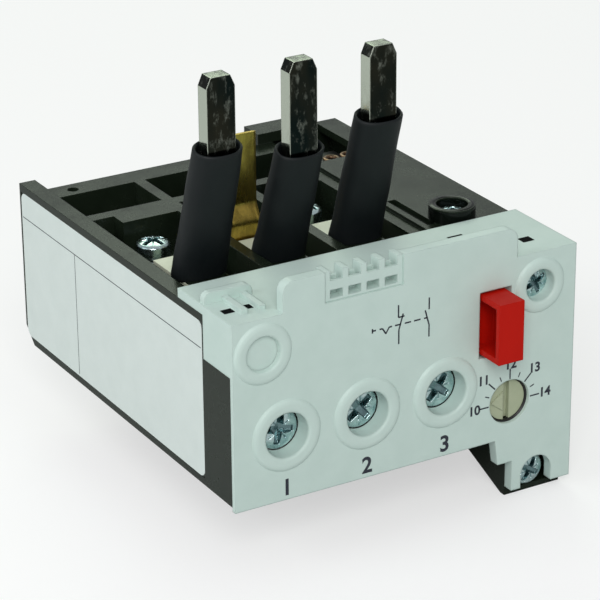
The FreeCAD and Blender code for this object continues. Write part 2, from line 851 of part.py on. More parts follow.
def aux_terminal_block():
    """Wedge-shaped block under the right-hand front corner, open to the front for its terminal."""
    body = new_body("aux_terminal_block")
    low_x = "left + block_edge"
    high_x = low_x + " + block_width"
    face = "front + block_front_back"
    heel = "front + block_flat_back"
    outline = polygon(
        (face, "0"), (heel, "0"),
        ("front + block_rear_back", "base_level"), (face, "base_level"))
    pad(body, "YZ", low_x, high_x, outline)
    inner_low = low_x + " + block_wall"
    inner_high = high_x + " - block_right_wall"
    back = "front + block_pocket_back"
    pocket(body, "YZ", inner_low, inner_high, rectangle(face, back, "block_floor", "base_level - block_roof"))
    pocket(body, "XY", "base_level - block_roof", "base_level", strip_shaft())
    return body


def strip_shaft():
    """Passage for the lower contact strip up into the housing."""
    strip_x = "left + strip_edge"
    leg_y = "front + strip_leg_back"
    return rectangle(
        strip_x + " - strip_thickness - running_gap", strip_x + " + running_gap",
        leg_y + " - slide_gap", leg_y + " + strip_width + slide_gap")


# ---- load terminals ----

def cross_drive(x, z, length, breadth):
    wide = rectangle(
        "%s - %s / 2" % (x, length), "%s + %s / 2" % (x, length),
        "%s - %s / 2" % (z, breadth), "%s + %s / 2" % (z, breadth))
    tall = rectangle(
        "%s - %s / 2" % (x, breadth), "%s + %s / 2" % (x, breadth),
        "%s - %s / 2" % (z, length), "%s + %s / 2" % (z, length))
    return wide, tall


def terminal_screw(pole):
    """Captive combination-drive screw whose tip stands on the busbar."""
    body = new_body("terminal_screw_%d" % pole)
    x = pole_x(pole)
    face = "front + screw_back"
    neck = face + " + screw_head_thickness"
    pad(body, "XZ", face, neck, circle(x, "axis_level", "screw_head"))
    pad(body, "XZ", neck, "front + busbar_back", circle(x, "axis_level", "screw_thread"))
    wide, tall = cross_drive(x, "axis_level", "drive_length", "drive_width")
    pocket(body, "XZ", face, face + " + drive_depth", wide)
    pocket(body, "XZ", face, face + " + drive_depth", tall)
    return body


def terminal_cage(pole):
    """Rising cage: threaded front wall, two sides and a rear wall that pulls the cable on to the busbar."""
    body = new_body("terminal_cage_%d" % pole)
    x = pole_x(pole)
    low = "axis_level - cage_height / 2"
    outline = rectangle(
        x + " - cage_half", x + " + cage_half",
        "front + cage_front_back", "front + cage_rear_back")
    pad(body, "XY", low, low + " + cage_height", outline)
    hollow = rectangle(
        x + " - cage_half + cage_wall", x + " + cage_half - cage_wall",
        "front + cage_front_back + cage_nut", "front + cage_rear_back - cage_wall")
    pocket(body, "XY", low, low + " + cage_height", hollow)
    bore = circle(x, "axis_level", "screw_thread + 2 * running_gap")
    pocket(body, "XZ", "front + cage_front_back", "front + cage_front_back + cage_nut", bore)
    corners = []
    for side in ("-", "+"):
        corners.append(straight("z", x="%s %s cage_half" % (x, side), y="front + cage_rear_back"))
    dress(body, "Fillet", "cage_wall", any_of(*corners))
    return body


def load_busbar(pole):
    """Tongue inside the cage with an ear bent back to carry the bimetal strip."""
    body = new_body("load_busbar_%d" % pole)
    x = pole_x(pole)
    face = "front + busbar_back"
    tongue = rectangle(
        x + " - busbar_width / 2", x + " + busbar_width / 2",
        "axis_level - busbar_drop", "axis_level + busbar_rise")
    pad(body, "XZ", face, face + " + busbar_thickness", tongue)
    over_cage = "axis_level + cage_height / 2 + ear_clearance"
    behind_cage = "front + cage_rear_back + ear_clearance"
    top = "axis_level + busbar_rise"
    ear = polygon(
        (face, over_cage),
        (behind_cage, over_cage),
        (behind_cage, "axis_level + ear_rise"),
        ("front + ear_back", "axis_level + ear_rise"),
        ("front + ear_back", top),
        (face, top),
    )
    ear_x = x + " - busbar_width / 2"
    pad(body, "YZ", ear_x, ear_x + " + busbar_thickness", ear)
    return body


def bimetal(pole):
    """Strip welded to the busbar's ear, its free end in the trip slider."""
    body = new_body("bimetal_%d" % pole)
    x = "(%s + bimetal_x)" % pole_x(pole)
    strip = rectangle(
        x + " - bimetal_thickness / 2", x + " + bimetal_thickness / 2",
        "front + bimetal_front_back", "rear - bimetal_rear_inset")
    low = "bimetal_level - bimetal_height / 2"
    pad(body, "XY", low, low + " + bimetal_height", strip)
    return body


def heater_insulator(pole):
    """Flat sleeve between the bimetal strip and its winding."""
    body = new_body("heater_insulator_%d" % pole)
    x = "(%s + bimetal_x)" % pole_x(pole)
    start = "front + heater_front_back"
    end = start + " + heater_pitch * heater_turns"
    inner = "heater_room - insulator_wall - running_gap"
    for spread, work in (("heater_room - running_gap", pad), (inner, pocket)):
        reach = "bimetal_thickness / 2 + " + spread
        lift = "bimetal_height / 2 + " + spread
        section = rectangle(
            "%s - (%s)" % (x, reach), "%s + (%s)" % (x, reach),
            "bimetal_level - (%s)" % lift, "bimetal_level + (%s)" % lift)
        work(body, "XZ", start, end, section)
    return body


def heater_winding(pole):
    """Flat strip wound round the insulated bimetal: upright legs, level undersides, slanting tops."""
    body = new_body("heater_winding_%d" % pole, loose=True)
    x = "(%s + bimetal_x)" % pole_x(pole)
    inner = "(bimetal_thickness / 2 + heater_room)"
    outer = "(bimetal_thickness / 2 + heater_room + heater_strip)"
    low = "bimetal_level - bimetal_height / 2 - heater_room"
    high = "bimetal_level + bimetal_height / 2 + heater_room"
    legs = []
    undersides = []
    tops = []
    turns = int(value("heater_turns"))
    for turn in range(turns):
        start = "(front + heater_front_back + heater_pitch * %d)" % turn
        end = start + " + heater_width"
        legs.append(rectangle("%s - %s" % (x, outer), "%s - %s" % (x, inner), start, end))
        legs.append(rectangle("%s + %s" % (x, inner), "%s + %s" % (x, outer), start, end))
        undersides.append(rectangle("%s - %s" % (x, outer), "%s + %s" % (x, outer), start, end))
        if turn + 1 < turns:
            tops.append(polygon(
                ("%s - %s" % (x, outer), start),
                ("%s + %s" % (x, outer), start + " + heater_pitch"),
                ("%s + %s" % (x, outer), end + " + heater_pitch"),
                ("%s - %s" % (x, outer), end),
            ))
    pad(body, "XY", low, high, *legs)
    pad(body, "XY", low + " - heater_strip", low, *undersides)
    pad(body, "XY", high, high + " + heater_strip", *tops)
    return body


def heater_carrier(pole):
    """Heat-resistant block that holds the foot of the line pin over the winding."""
    body = new_body("heater_carrier_%d" % pole)
    x = pole_x(pole)
    block = rectangle(
        x + " - carrier_half", x + " + carrier_half",
        "front + carrier_front_back", "front + carrier_rear_back")
    pad(body, "XY", "cell_shelf", "carrier_level", block)
    foot_y = "front + pin_foot_back"
    slot = rectangle(
        x + " - tail_width / 2 - slide_gap", x + " + tail_width / 2 + slide_gap",
        foot_y + " - tail_thickness / 2 - slide_gap", foot_y + " + tail_thickness / 2 + slide_gap")
    pocket(body, "XY", "cell_shelf", "carrier_level", slot)
    return body


# ---- line pins and their sleeves ----

def sleeve_top(pole):
    """The second sleeve is cut shorter than its neighbours."""
    return "axis_level + sleeve_rise" + (" - sleeve_short" if pole == 2 else "")


def line_pin(pole):
    """Upright blade with chamfered tip on a tail that leans back to the foot in the carrier."""
    body = new_body("line_pin_%d" % pole)
    x = pole_x(pole)
    blade_y = "front + pin_back"
    bend = sleeve_top(pole) + " - pin_overlap"
    tip = "axis_level + pin_rise"
    shoulder = tip + " - pin_chamfer_height"
    blade = polygon(
        (x + " - pin_width / 2", bend),
        (x + " + pin_width / 2", bend),
        (x + " + pin_width / 2", shoulder),
        (x + " + pin_width / 2 - pin_chamfer_width", tip),
        (x + " - pin_width / 2 + pin_chamfer_width", tip),
        (x + " - pin_width / 2", shoulder),
    )
    pad(body, "XZ", blade_y + " - pin_thickness / 2", blade_y + " + pin_thickness / 2", blade)
    foot_y = "front + pin_foot_back"
    foot_level = "bimetal_level + bimetal_height / 2 + heater_room + heater_strip"
    tail = polygon(
        (blade_y + " - tail_thickness / 2", bend),
        (foot_y + " - tail_thickness / 2", "carrier_level"),
        (foot_y + " - tail_thickness / 2", foot_level),
        (foot_y + " + tail_thickness / 2", foot_level),
        (foot_y + " + tail_thickness / 2", "carrier_level"),
        (blade_y + " + tail_thickness / 2", bend),
    )
    pad(body, "YZ", x + " - tail_width / 2", x + " + tail_width / 2", tail)
    return body


def pin_sleeve(pole):
    """Oval heat-shrink sleeve leaning with the tail inside it, its foot cut level with the carrier."""
    body = new_body("pin_sleeve_%d" % pole)
    height = "(%s - carrier_level)" % sleeve_top(pole)
    lean = "atan((pin_foot_back - pin_back) / (%s - pin_overlap))" % height
    reach = "sleeve_width"
    inner = "sleeve_wall * 2"
    pad(
        body, "XY", "-sleeve_depth", "%s / cos(%s)" % (height, lean),
        oval("0", "0", "sleeve_width", "sleeve_depth"),
        oval("0", "0", "sleeve_width - " + inner, "sleeve_depth - " + inner))
    foot = polygon(
        ("-" + reach, "%s * tan(%s)" % (reach, lean)),
        ("-" + reach, "-" + reach),
        (reach, "-" + reach),
        (reach, "-%s * tan(%s)" % (reach, lean)),
    )
    pocket(body, "YZ", "-" + reach, reach, foot)
    body.setExpression("Placement.Base.x", bound(pole_x(pole)))
    body.setExpression("Placement.Base.y", bound("front + pin_foot_back"))
    body.setExpression("Placement.Base.z", bound("carrier_level"))
    body.Placement.Rotation = FreeCAD.Rotation(Vector(1, 0, 0), value(lean))
    return body


# ---- brass link and calibration screws ----

def brass_link():
    """Joggled strip standing behind the second carrier, its foot under the calibration screw."""
    body = new_body("brass_link")
    right_x = pole_x(2) + " + link_right"
    front_y = "front + link_back"
    back_y = front_y + " + link_thickness"
    foot = "axis_level + bridge_rise"
    bend_low = "axis_level + link_bend_low_rise"
    bend_high = "axis_level + link_bend_high_rise"
    tip = "axis_level + link_rise"
    rear_y = "rear - cell_rear_inset - gap"
    outline = polygon(
        (front_y, foot),
        (rear_y, foot),
        (rear_y, foot + " + link_thickness"),
        (back_y, foot + " + link_thickness"),
        (back_y, bend_low),
        (back_y + " + link_joggle", bend_high),
        (back_y + " + link_joggle", tip),
        (front_y + " + link_joggle", tip),
        (front_y + " + link_joggle", bend_high),
        (front_y, bend_low),
    )
    pad(body, "YZ", right_x + " - link_width", right_x, outline)
    hole = faceted(pole_x(2) + " + calibration_offset", "rear - calibration_inset", "calibration_thread + gap")
    pocket(body, "XY", foot, foot + " + link_thickness", hole)
    return body


def calibration_screws():
    """Three slotted screws on the bridges over the bimetal strips."""
    body = new_body("calibration_screws", loose=True)
    y = "rear - calibration_inset"
    for pole in POLES:
        x = "(%s + calibration_offset)" % pole_x(pole)
        seat = "axis_level + bridge_rise"
        if pole == 2:
            seat += " + link_thickness"
        top = seat + " + calibration_head_thickness"
        low = "axis_level + bridge_rise - calibration_length"
        pad(body, "XY", seat, top, faceted(x, y, "calibration_head"))
        pad(body, "XY", low, seat, faceted(x, y, "calibration_thread"))
        slot = rectangle(
            x + " - calibration_head / 2", x + " + calibration_head / 2",
            y + " - calibration_slot / 2", y + " + calibration_slot / 2")
        pocket(body, "XY", top + " - calibration_slot_depth", top, slot)
    return body


# ---- trip mechanism ----

def trip_slider():
    """Bar across the poles with a window for each strip's free end and a rounded nose at the right."""
    body = new_body("trip_slider")
    low_y = "slider_y - slider_thickness / 2"
    high_y = "slider_y + slider_thickness / 2"
    nose = "left + slider_right_edge"
    bar = rectangle(
        "left + slider_left_edge", nose,
        "axis_level - slider_low_drop", "axis_level + slider_high_rise")
    pad(body, "XZ", low_y, high_y, bar)
    windows = []
    for pole in POLES:
        x = "(%s + bimetal_x)" % pole_x(pole)
        windows.append(rectangle(
            x + " - bimetal_thickness / 2 - slider_travel - slider_window_margin",
            x + " + bimetal_thickness / 2 + slide_gap",
            "bimetal_level - bimetal_height / 2 - slider_window_margin",
            "bimetal_level + bimetal_height / 2 + slider_window_margin"))
    pocket(body, "XZ", low_y, high_y, *windows)
    ends = any_of(straight("z", x=nose, y=low_y), straight("z", x=nose, y=high_y))
    dress(body, "Fillet", "slider_nose", ends)
    return body


def mechanism_frame():
    """Insert with floor and front wall: bearings for dial and stem, pivot pin, and the eyelet shelf."""
    body = new_body("mechanism_frame")
    left_x = "split_right + slide_gap"
    right_x = "compartment_right - slide_gap"
    floor = "floor_level + frame_floor"
    wall_back = "frame_front + frame_wall"
    plan = rectangle(left_x, right_x, "frame_front", "rear - frame_rear_inset")
    pad(body, "XY", "floor_level", floor, plan)
    wall = rectangle(left_x, right_x, floor, "axis_level + frame_rise")
    pad(body, "XZ", "frame_front", wall_back, wall)
    stem = rectangle(
        "stem_x - stem_width / 2 - slide_gap", "stem_x + stem_width / 2 + slide_gap",
        "button_level - stem_height / 2 - slide_gap", "button_level + stem_height / 2 + slide_gap")
    shaft = circle("dial_x", "dial_level", "dial_shaft + 2 * running_gap")
    openings = [stem, shaft]
    strip_x = "left + strip_edge"
    for low in ("axis_level + strip_upper_rise", "axis_level - strip_lower_drop"):
        openings.append(rectangle(
            strip_x + " - strip_thickness - slide_gap", strip_x + " + slide_gap",
            low + " - slide_gap", low + " + strip_width + slide_gap"))
    pocket(body, "XZ", "frame_front", wall_back, *openings)
    boss_top = "axis_level - lever_low_drop"
    pad(body, "XY", floor, boss_top, faceted("pivot_x", "pivot_y", "pivot_boss"))
    pad(body, "XY", boss_top, "axis_level + pivot_rise", circle("pivot_x", "pivot_y", "pivot_pin"))
    shelf_left = "left + eyelet_shelf_left_edge"
    shelf_right = "left + rear_pocket_edge - slide_gap"
    shelf_back = "rear - eyelet_shelf_rear_inset"
    shelf_top = "axis_level + eyelet_shelf_rise"
    post = rectangle(shelf_left, shelf_right, "rear - eyelet_post_inset", shelf_back)
    pad(body, "XY", floor, shelf_top, post)
    shelf = rectangle(shelf_left, shelf_right, "rear - eyelet_shelf_front_inset", shelf_back)
    pad(body, "XY", shelf_top + " - eyelet_shelf_wall", shelf_top, shelf)
    compensator_x = "left + compensator_edge"
    rib = rectangle(
        compensator_x, compensator_x + " + compensator_thickness",
        wall_back, "front + compensator_foot_back")
    pad(body, "XY", floor, "axis_level - compensator_drop", rib)
    return body


def compensating_bimetal():
    """Ambient compensation strip standing on its rib behind the front wall."""
    body = new_body("compensating_bimetal")
    x = "left + compensator_edge"
    strip = rectangle(
        x, x + " + compensator_thickness",
        "frame_front + frame_wall", "rear - compensator_rear_inset")
    low = "axis_level - compensator_drop"
    pad(body, "XY", low, low + " + compensator_height", strip)
    return body


def trip_lever():
    """Two-armed lever on the frame's pin: the slider pushes its rear arm, the contact is on the front."""
    body = new_body("trip_lever")
    low = "axis_level - lever_low_drop"
    high = "axis_level + lever_high_rise"
    pad(body, "XY", low, high, circle("pivot_x", "pivot_y", "pivot_hub"))
    rear_x = "pivot_x - lever_rear_offset"
    front_x = "pivot_x + lever_front_offset"
    rear_arm = rectangle(rear_x, rear_x + " + lever_arm", "pivot_y", "rear - lever_rear_inset")
    front_arm = rectangle(front_x, front_x + " + lever_arm", "rear - lever_front_inset", "pivot_y")
    pad(body, "XY", low, high, rear_arm)
    pad(body, "XY", low, high, front_arm)
    pocket(body, "XY", low, high, circle("pivot_x", "pivot_y", "pivot_pin + 2 * running_gap"))
    return body


def contact_levels():
    return ("axis_level - contact_low_drop", "axis_level + contact_high_rise")


def moving_contact():
    """Bridge blade on the lever's front arm with two contact buttons."""
    body = new_body("moving_contact")
    blade_x = "pivot_x + lever_front_offset"
    blade = rectangle(
        "rear - lever_front_inset", "pivot_y - pivot_hub / 2 - gap",
        "axis_level - lever_low_drop", "axis_level + lever_high_rise")
    pad(body, "YZ", blade_x + " - contact_thickness", blade_x, blade)
    buttons = [faceted("rear - contact_inset", level, "contact_button") for level in contact_levels()]
    face = blade_x + " - contact_thickness"
    pad(body, "YZ", face + " - contact_button_height", face, *buttons)
    return body


def terminal_plate(level):
    return rectangle(
        "left + strip_edge - strip_thickness", "aux_x + aux_plate_half",
        level + " - aux_plate_low", level + " + aux_plate_top")


def contact_strip(name, level, outline, contact_level):
    """Threaded terminal plate with a strip running back to a fixed contact button."""
    body = new_body(name)
    plate_y = "front + aux_plate_back"
    strip_x = "left + strip_edge"
    pad(body, "XZ", plate_y, plate_y + " + aux_plate_thickness", terminal_plate(level))
    pad(body, "YZ", strip_x + " - strip_thickness", strip_x, outline)
    button = faceted("rear - contact_inset", contact_level, "contact_button")
    pad(body, "YZ", strip_x, strip_x + " + fixed_button_height", button)
    thread = circle("aux_x", level, "aux_thread + 2 * running_gap")
    pocket(body, "XZ", plate_y, plate_y + " + aux_plate_thickness", thread)
    return body


def strip_end():
    return "rear - contact_inset + strip_width / 2", "rear - contact_inset - strip_width / 2"


def upper_contact_strip():
    back, near = strip_end()
    low = "axis_level + strip_upper_rise"
    contact_level = contact_levels()[1]
    outline = polygon(
        ("front + aux_plate_back", low),
        (near, low),
        (near, contact_level + " - strip_width / 2"),
        (back, contact_level + " - strip_width / 2"),
        (back, low + " + strip_width"),
        ("front + aux_plate_back", low + " + strip_width"),
    )
    return contact_strip("upper_contact_strip", "upper_row", outline, contact_level)


def lower_contact_strip():
    back, near = strip_end()
    contact_level = contact_levels()[0]
    foot = "axis_level - strip_foot_drop"
    run = "axis_level - strip_lower_drop"
    leg = "front + strip_leg_back"
    outline = polygon(
        ("front + aux_plate_back", foot),
        (leg + " + strip_width", foot),
        (leg + " + strip_width", run),
        (back, run),
        (back, contact_level + " + strip_width / 2"),
        (near, contact_level + " + strip_width / 2"),
        (near, run + " + strip_width"),
        (leg, run + " + strip_width"),
        (leg, foot + " + strip_width"),
        ("front + aux_plate_back", foot + " + strip_width"),
    )
    return contact_strip("lower_contact_strip", "lower_row", outline, contact_level)


def aux_screw(name, level):
    """Small combination-drive screw of an auxiliary terminal."""
    body = new_body("aux_screw_" + name)
    face = "front + aux_back"
    neck = face + " + aux_head_thickness"
    pad(body, "XZ", face, neck, circle("aux_x", level, "aux_head"))
    tip = "front + aux_plate_back + aux_plate_thickness + aux_thread_length - aux_washer_thickness"
    pad(body, "XZ", neck, tip, circle("aux_x", level, "aux_thread"))
    for bar in cross_drive("aux_x", level, "aux_drive_length", "aux_drive_width"):
        pocket(body, "XZ", face, face + " + aux_drive_depth", bar)
    return body


def aux_washer(name, level):
    """Pressure washer that travels with the screw and holds the wire against the terminal plate."""
    body = new_body("aux_washer_" + name)
    face = "front + aux_back + aux_head_thickness"
    ring = circle("aux_x", level, "aux_washer")
    pad(body, "XZ", face, face + " + aux_washer_thickness", ring)
    bore = circle("aux_x", level, "aux_thread + 2 * running_gap")
    pocket(body, "XZ", face, face + " + aux_washer_thickness", bore)
    return body


def reset_button():
    """Channel-shaped button, open at its left side, with a collar behind the cover and a guide stem."""
    body = new_body("reset_button")
    left_x = "button_x - button_width / 2"
    right_x = "button_x + button_width / 2"
    low = "button_level - button_height / 2"
    high = "button_level + button_height / 2"
    face = "front - button_reach"
    pad(body, "XZ", face, "cover_inner", rectangle(left_x, right_x, low, high))
    hollow = rectangle(
        face + " + button_wall", "cover_inner",
        low + " + button_wall", high + " - button_wall")
    pocket(body, "YZ", left_x, right_x + " - button_wall", hollow)
    collar_back = "cover_inner + collar_thickness"
    collar = rectangle(
        left_x, "slot_x + slot_width / 2 + collar_lip",
        "slot_level - slot_height / 2 - collar_lip", "slot_level + slot_height / 2 + collar_lip")
    pad(body, "XZ", "cover_inner", collar_back, collar)
    stem = rectangle(
        "stem_x - stem_width / 2", "stem_x + stem_width / 2",
        "button_level - stem_height / 2", "button_level + stem_height / 2")
    pad(body, "XZ", collar_back, "front + stem_back", stem)
    return body


def reset_spring():
    """Compression spring round the stem, between the collar and the frame's front wall."""
    wire = value("spring_wire")
    start = value("cover_inner + collar_thickness") + wire / 2
    end = value("frame_front") - wire / 2
    middle = (value("spring_outer") - wire) / 2
    steps = int(value("spring_turns")) * 12
    coil = [
        Vector(
            middle * math.cos(math.radians(30 * step)), start + (end - start) * step / steps,
            middle * math.sin(math.radians(30 * step)))
        for step in range(steps + 1)]
    path = doc.addObject("Part::Feature", "reset_spring_path")
    path.Shape = Part.makePolygon(coil)
    section = doc.addObject("Part::RegularPolygon", "reset_spring_section")
    section.Polygon = 6
    section.setExpression("Circumradius", bound("spring_wire / 2"))
    section.Placement = FreeCAD.Placement(coil[0], FreeCAD.Rotation(Vector(0, 0, 1), coil[1] - coil[0]))
    sweep = doc.addObject("Part::Sweep", "reset_spring")
    sweep.Label = "reset_spring"
    sweep.Sections = [section]
    sweep.Spine = (path, [])
    sweep.Solid = True
    sweep.Transition = "Right corner"
    sweep.setExpression("Placement.Base.x", bound("stem_x"))
    sweep.setExpression("Placement.Base.z", bound("button_level"))
    doc.recompute()
    return sweep


def current_dial():
    """Slotted setting dial with a raised arrow, its cam and its shaft to the frame's bearing."""
    body = new_body("current_dial")
    face = "front + dial_recess"
    neck = face + " + dial_head_thickness"
    pad(body, "XZ", face, neck, circle("dial_x", "dial_level", "dial_head"))
    slot = rectangle(
        "dial_x - dial_slot / 2", "dial_x + dial_slot / 2",
        "dial_level - dial_head / 2", "dial_level + dial_head / 2")
    pocket(body, "XZ", face, face + " + dial_slot_depth", slot)
    base_x = "dial_x - dial_slot / 2 - gap"
    arrow = polygon(
        (base_x, "dial_level - dial_arrow_width / 2"),
        (base_x, "dial_level + dial_arrow_width / 2"),
        (base_x + " - dial_arrow_length", "dial_level"),
    )
    pad(body, "XZ", face + " - dial_arrow_height", face, arrow)
    pad(body, "XZ", neck, "front + dial_shaft_back", circle("dial_x", "dial_level", "dial_shaft"))
    cam = circle("dial_x + cam_offset", "dial_level", "2 * cam_radius")
    pad(body, "XZ", "front + cam_back", "front + cam_back + cam_thickness", cam)
    bead = faceted("dial_x", "dial_level", "dial_bead")
    pad(body, "XZ", "front + dial_bead_back", "front + dial_shaft_back", bead)
    return body


def contact_eyelets():
    """Two copper eyelets on the shelf in the rear pocket."""
    body = new_body("contact_eyelets", loose=True)
    y = "rear - eyelet_front_inset"
    low = "axis_level + eyelet_shelf_rise"
    centres = ["left + eyelet_edge + eyelet_pitch * %d" % index for index in (0, 1)]
    pad(body, "XY", low, low + " + eyelet_height", *[faceted(x, y, "eyelet_outer") for x in centres])
    pocket(body, "XY", low, low + " + eyelet_height", *[faceted(x, y, "eyelet_bore") for x in centres])
    return body


def boss_screw():
    """Slotted screw head on the floor of the boss."""
    body = new_body("boss_screw")
    x = "left + boss_edge"
    y = "front + boss_back"
    seat = "deck_level + boss_rise - boss_depth"
    top = seat + " + boss_screw_thickness"
    pad(body, "XY", seat, top, faceted(x, y, "boss_screw_head"))
    slot = rectangle(
        x + " - boss_screw_head / 2", x + " + boss_screw_head / 2",
        y + " - calibration_slot / 2", y + " + calibration_slot / 2")
    pocket(body, "XY", top + " - calibration_slot_depth", top, slot)
    return body


def per_pole(make):
    return [make(pole) for pole in POLES]


def build_all():
    pieces = [front_cover(), marker_comb(), base_housing()]
    pieces += [side_plate(), rating_label(), aux_terminal_block()]
    for make in (terminal_screw, terminal_cage, load_busbar, bimetal, heater_insulator, heater_winding,
                 heater_carrier, line_pin, pin_sleeve):
        pieces += per_pole(make)
    pieces += [brass_link(), calibration_screws(), trip_slider(), mechanism_frame(), compensating_bimetal()]
    pieces += [trip_lever(), moving_contact(), upper_contact_strip(), lower_contact_strip()]
    for name, level in (("upper", "upper_row"), ("lower", "lower_row")):
        pieces += [aux_screw(name, level), aux_washer(name, level)]
    pieces += [reset_button(), reset_spring(), current_dial(), contact_eyelets(), boss_screw()]
    return pieces


def check(pieces):
    for item in doc.Objects:
        if "Invalid" in item.State or "Error" in item.State:
            raise ValueError("%s is %s" % (item.Label, item.State))
    for piece in pieces:
        if piece.Shape.isNull() or not piece.Shape.isValid():
            raise ValueError("%s has no valid shape" % piece.Label)


fill_sheet()
made = build_all()
doc.recompute()
check(made)
os.makedirs("parts", exist_ok=True)
for piece in made:
    piece.Shape.exportStep("parts/%s.step" % piece.Label)
    print("%-24s %2d solids %9.1f mm3" % (piece.Label, len(piece.Shape.Solids), piece.Shape.Volume))
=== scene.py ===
import bpy
import numpy as np
from mathutils import Matrix, Vector


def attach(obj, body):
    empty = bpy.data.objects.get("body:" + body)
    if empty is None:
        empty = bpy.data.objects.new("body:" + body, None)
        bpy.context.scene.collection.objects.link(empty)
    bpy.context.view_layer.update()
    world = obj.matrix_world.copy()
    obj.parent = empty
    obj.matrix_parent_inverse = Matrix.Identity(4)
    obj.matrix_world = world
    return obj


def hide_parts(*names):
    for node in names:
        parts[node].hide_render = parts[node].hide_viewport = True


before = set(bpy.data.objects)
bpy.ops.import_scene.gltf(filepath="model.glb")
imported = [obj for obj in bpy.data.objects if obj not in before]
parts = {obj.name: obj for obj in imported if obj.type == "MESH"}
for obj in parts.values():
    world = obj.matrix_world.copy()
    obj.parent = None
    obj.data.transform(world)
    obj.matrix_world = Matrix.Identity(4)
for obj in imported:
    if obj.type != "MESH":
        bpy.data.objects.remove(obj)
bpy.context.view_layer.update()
MM = 0.001


# ---- camera, floor and light ----
# The relay stands on a plain pale floor and is seen from its front left, a little from above.
# Two soft lamps and an even sky light it; the floor keeps a faint shadow.

camera = bpy.data.objects.new("camera", bpy.data.cameras.new("camera"))
camera.data.lens = 162.9
camera.data.sensor_width = 36.0
camera.data.clip_start = 0.01
camera.matrix_world = Matrix((
    (0.86202, 0.20779, -0.46234, -0.215353),
    (-0.50682, 0.33952, -0.79237, -0.370093),
    (-0.00767, 0.91736, 0.39799, 0.214164),
    (0, 0, 0, 1)))
bpy.context.scene.collection.objects.link(camera)
bpy.context.scene.camera = camera
bpy.context.scene.view_settings.view_transform = "Standard"


def lamp(name, place, aim, size, watts, tint):
    """Square soft lamp at a place, turned towards a point."""
    data = bpy.data.lights.new(name, "AREA")
    data.size = size
    data.energy = watts
    data.color = tint
    light = bpy.data.objects.new(name, data)
    light.location = place
    light.rotation_euler = (Vector(aim) - Vector(place)).to_track_quat("-Z", "Y").to_euler()
    bpy.context.scene.collection.objects.link(light)


lamp("key_lamp", (-0.42, -0.75, 0.62), (0, 0, 0.03), 0.45, 5.2, (1.0, 1.0, 0.98))
lamp("side_lamp", (-0.80, 0.10, 0.45), (0, 0, 0.03), 0.5, 2.4, (0.98, 1.0, 1.0))
lamp("rear_lamp", (0.30, 0.78, 0.70), (0, 0, 0.03), 0.5, 2.2, (0.84, 1.0, 0.78))


def wires(material, graph):
    """Fills a material's node tree from {name: (type, settings, inputs)}.

    An input is a plain value, or (node name, output name) for a link.
    """
    material.use_nodes = True
    tree = material.node_tree
    tree.nodes.clear()
    made = {}
    for name, (kind, settings, inputs) in graph.items():
        node = tree.nodes.new(kind)
        node.name = name
        for key, setting in settings.items():
            setattr(node, key, setting)
        made[name] = node
    for name, (kind, settings, inputs) in graph.items():
        for key, given in inputs.items():
            socket = made[name].inputs[key]
            if isinstance(given, tuple) and isinstance(given[0], str):
                tree.links.new(made[given[0]].outputs[given[1]], socket)
            else:
                socket.default_value = given
    return material


sky = bpy.data.worlds.new("sky")
bpy.context.scene.world = sky
wires(sky, {
    "path": ("ShaderNodeLightPath", {}, {}),
    "seen": ("ShaderNodeMath", {"operation": "MAXIMUM"},
             {0: ("path", "Is Camera Ray"), 1: ("path", "Is Transmission Ray")}),
    "shade": ("ShaderNodeBackground", {}, {"Color": (0.95, 0.98, 1.0, 1), "Strength": 0.42}),
    "white": ("ShaderNodeBackground", {}, {"Color": (1, 1, 1, 1), "Strength": 1.0}),
    "mix": ("ShaderNodeMixShader", {}, {0: ("seen", 0), 1: ("shade", 0), 2: ("white", 0)}),
    "out": ("ShaderNodeOutputWorld", {}, {"Surface": ("mix", 0)}),
})


def mesh_piece(name, points, faces, smooth=True):
    """Mesh object from an array of points in millimetres and a list or array of faces."""
    mesh = bpy.data.meshes.new(name)
    places = np.asarray(points, float).reshape(-1, 3) * MM
    mesh.from_pydata(places.tolist(), [], [list(face) for face in faces])
    mesh.polygons.foreach_set("use_smooth", np.full(len(mesh.polygons), smooth))
    mesh.update()
    piece = bpy.data.objects.new(name, mesh)
    bpy.context.scene.collection.objects.link(piece)
    return piece


reach = 3000.0
floor = mesh_piece(
    "floor", [(-reach, -reach, 0), (reach, -reach, 0), (reach, reach, 0), (-reach, reach, 0)],
    [(0, 1, 2, 3)], smooth=False)
floor.data.materials.append(wires(bpy.data.materials.new("pale_floor"), {
    "path": ("ShaderNodeLightPath", {}, {}),
    "tone": ("ShaderNodeMix", {"data_type": "RGBA"}, {
        0: ("path", "Is Camera Ray"), 6: (0.62, 0.63, 0.63, 1), 7: (1, 1, 1, 1)}),
    "cloth": ("ShaderNodeBsdfDiffuse", {}, {"Color": ("tone", 2)}),
    "glow": ("ShaderNodeEmission", {}, {"Color": (1, 1, 1, 1), "Strength": 1.0}),
    "part": ("ShaderNodeMath", {"operation": "MULTIPLY"}, {0: ("path", "Is Camera Ray"), 1: 0.55}),
    "mix": ("ShaderNodeMixShader", {}, {0: ("part", 0), 1: ("cloth", 0), 2: ("glow", 0)}),
    "out": ("ShaderNodeOutputMaterial", {}, {"Surface": ("mix", 0)}),
}))


# ---- grey front cover and its marker comb ----
# One injection moulding in pale grey plastic with a fine spark-eroded grain, clipped over the
# front of the housing.  The comb is a second, smaller moulding pushed into the parapet.

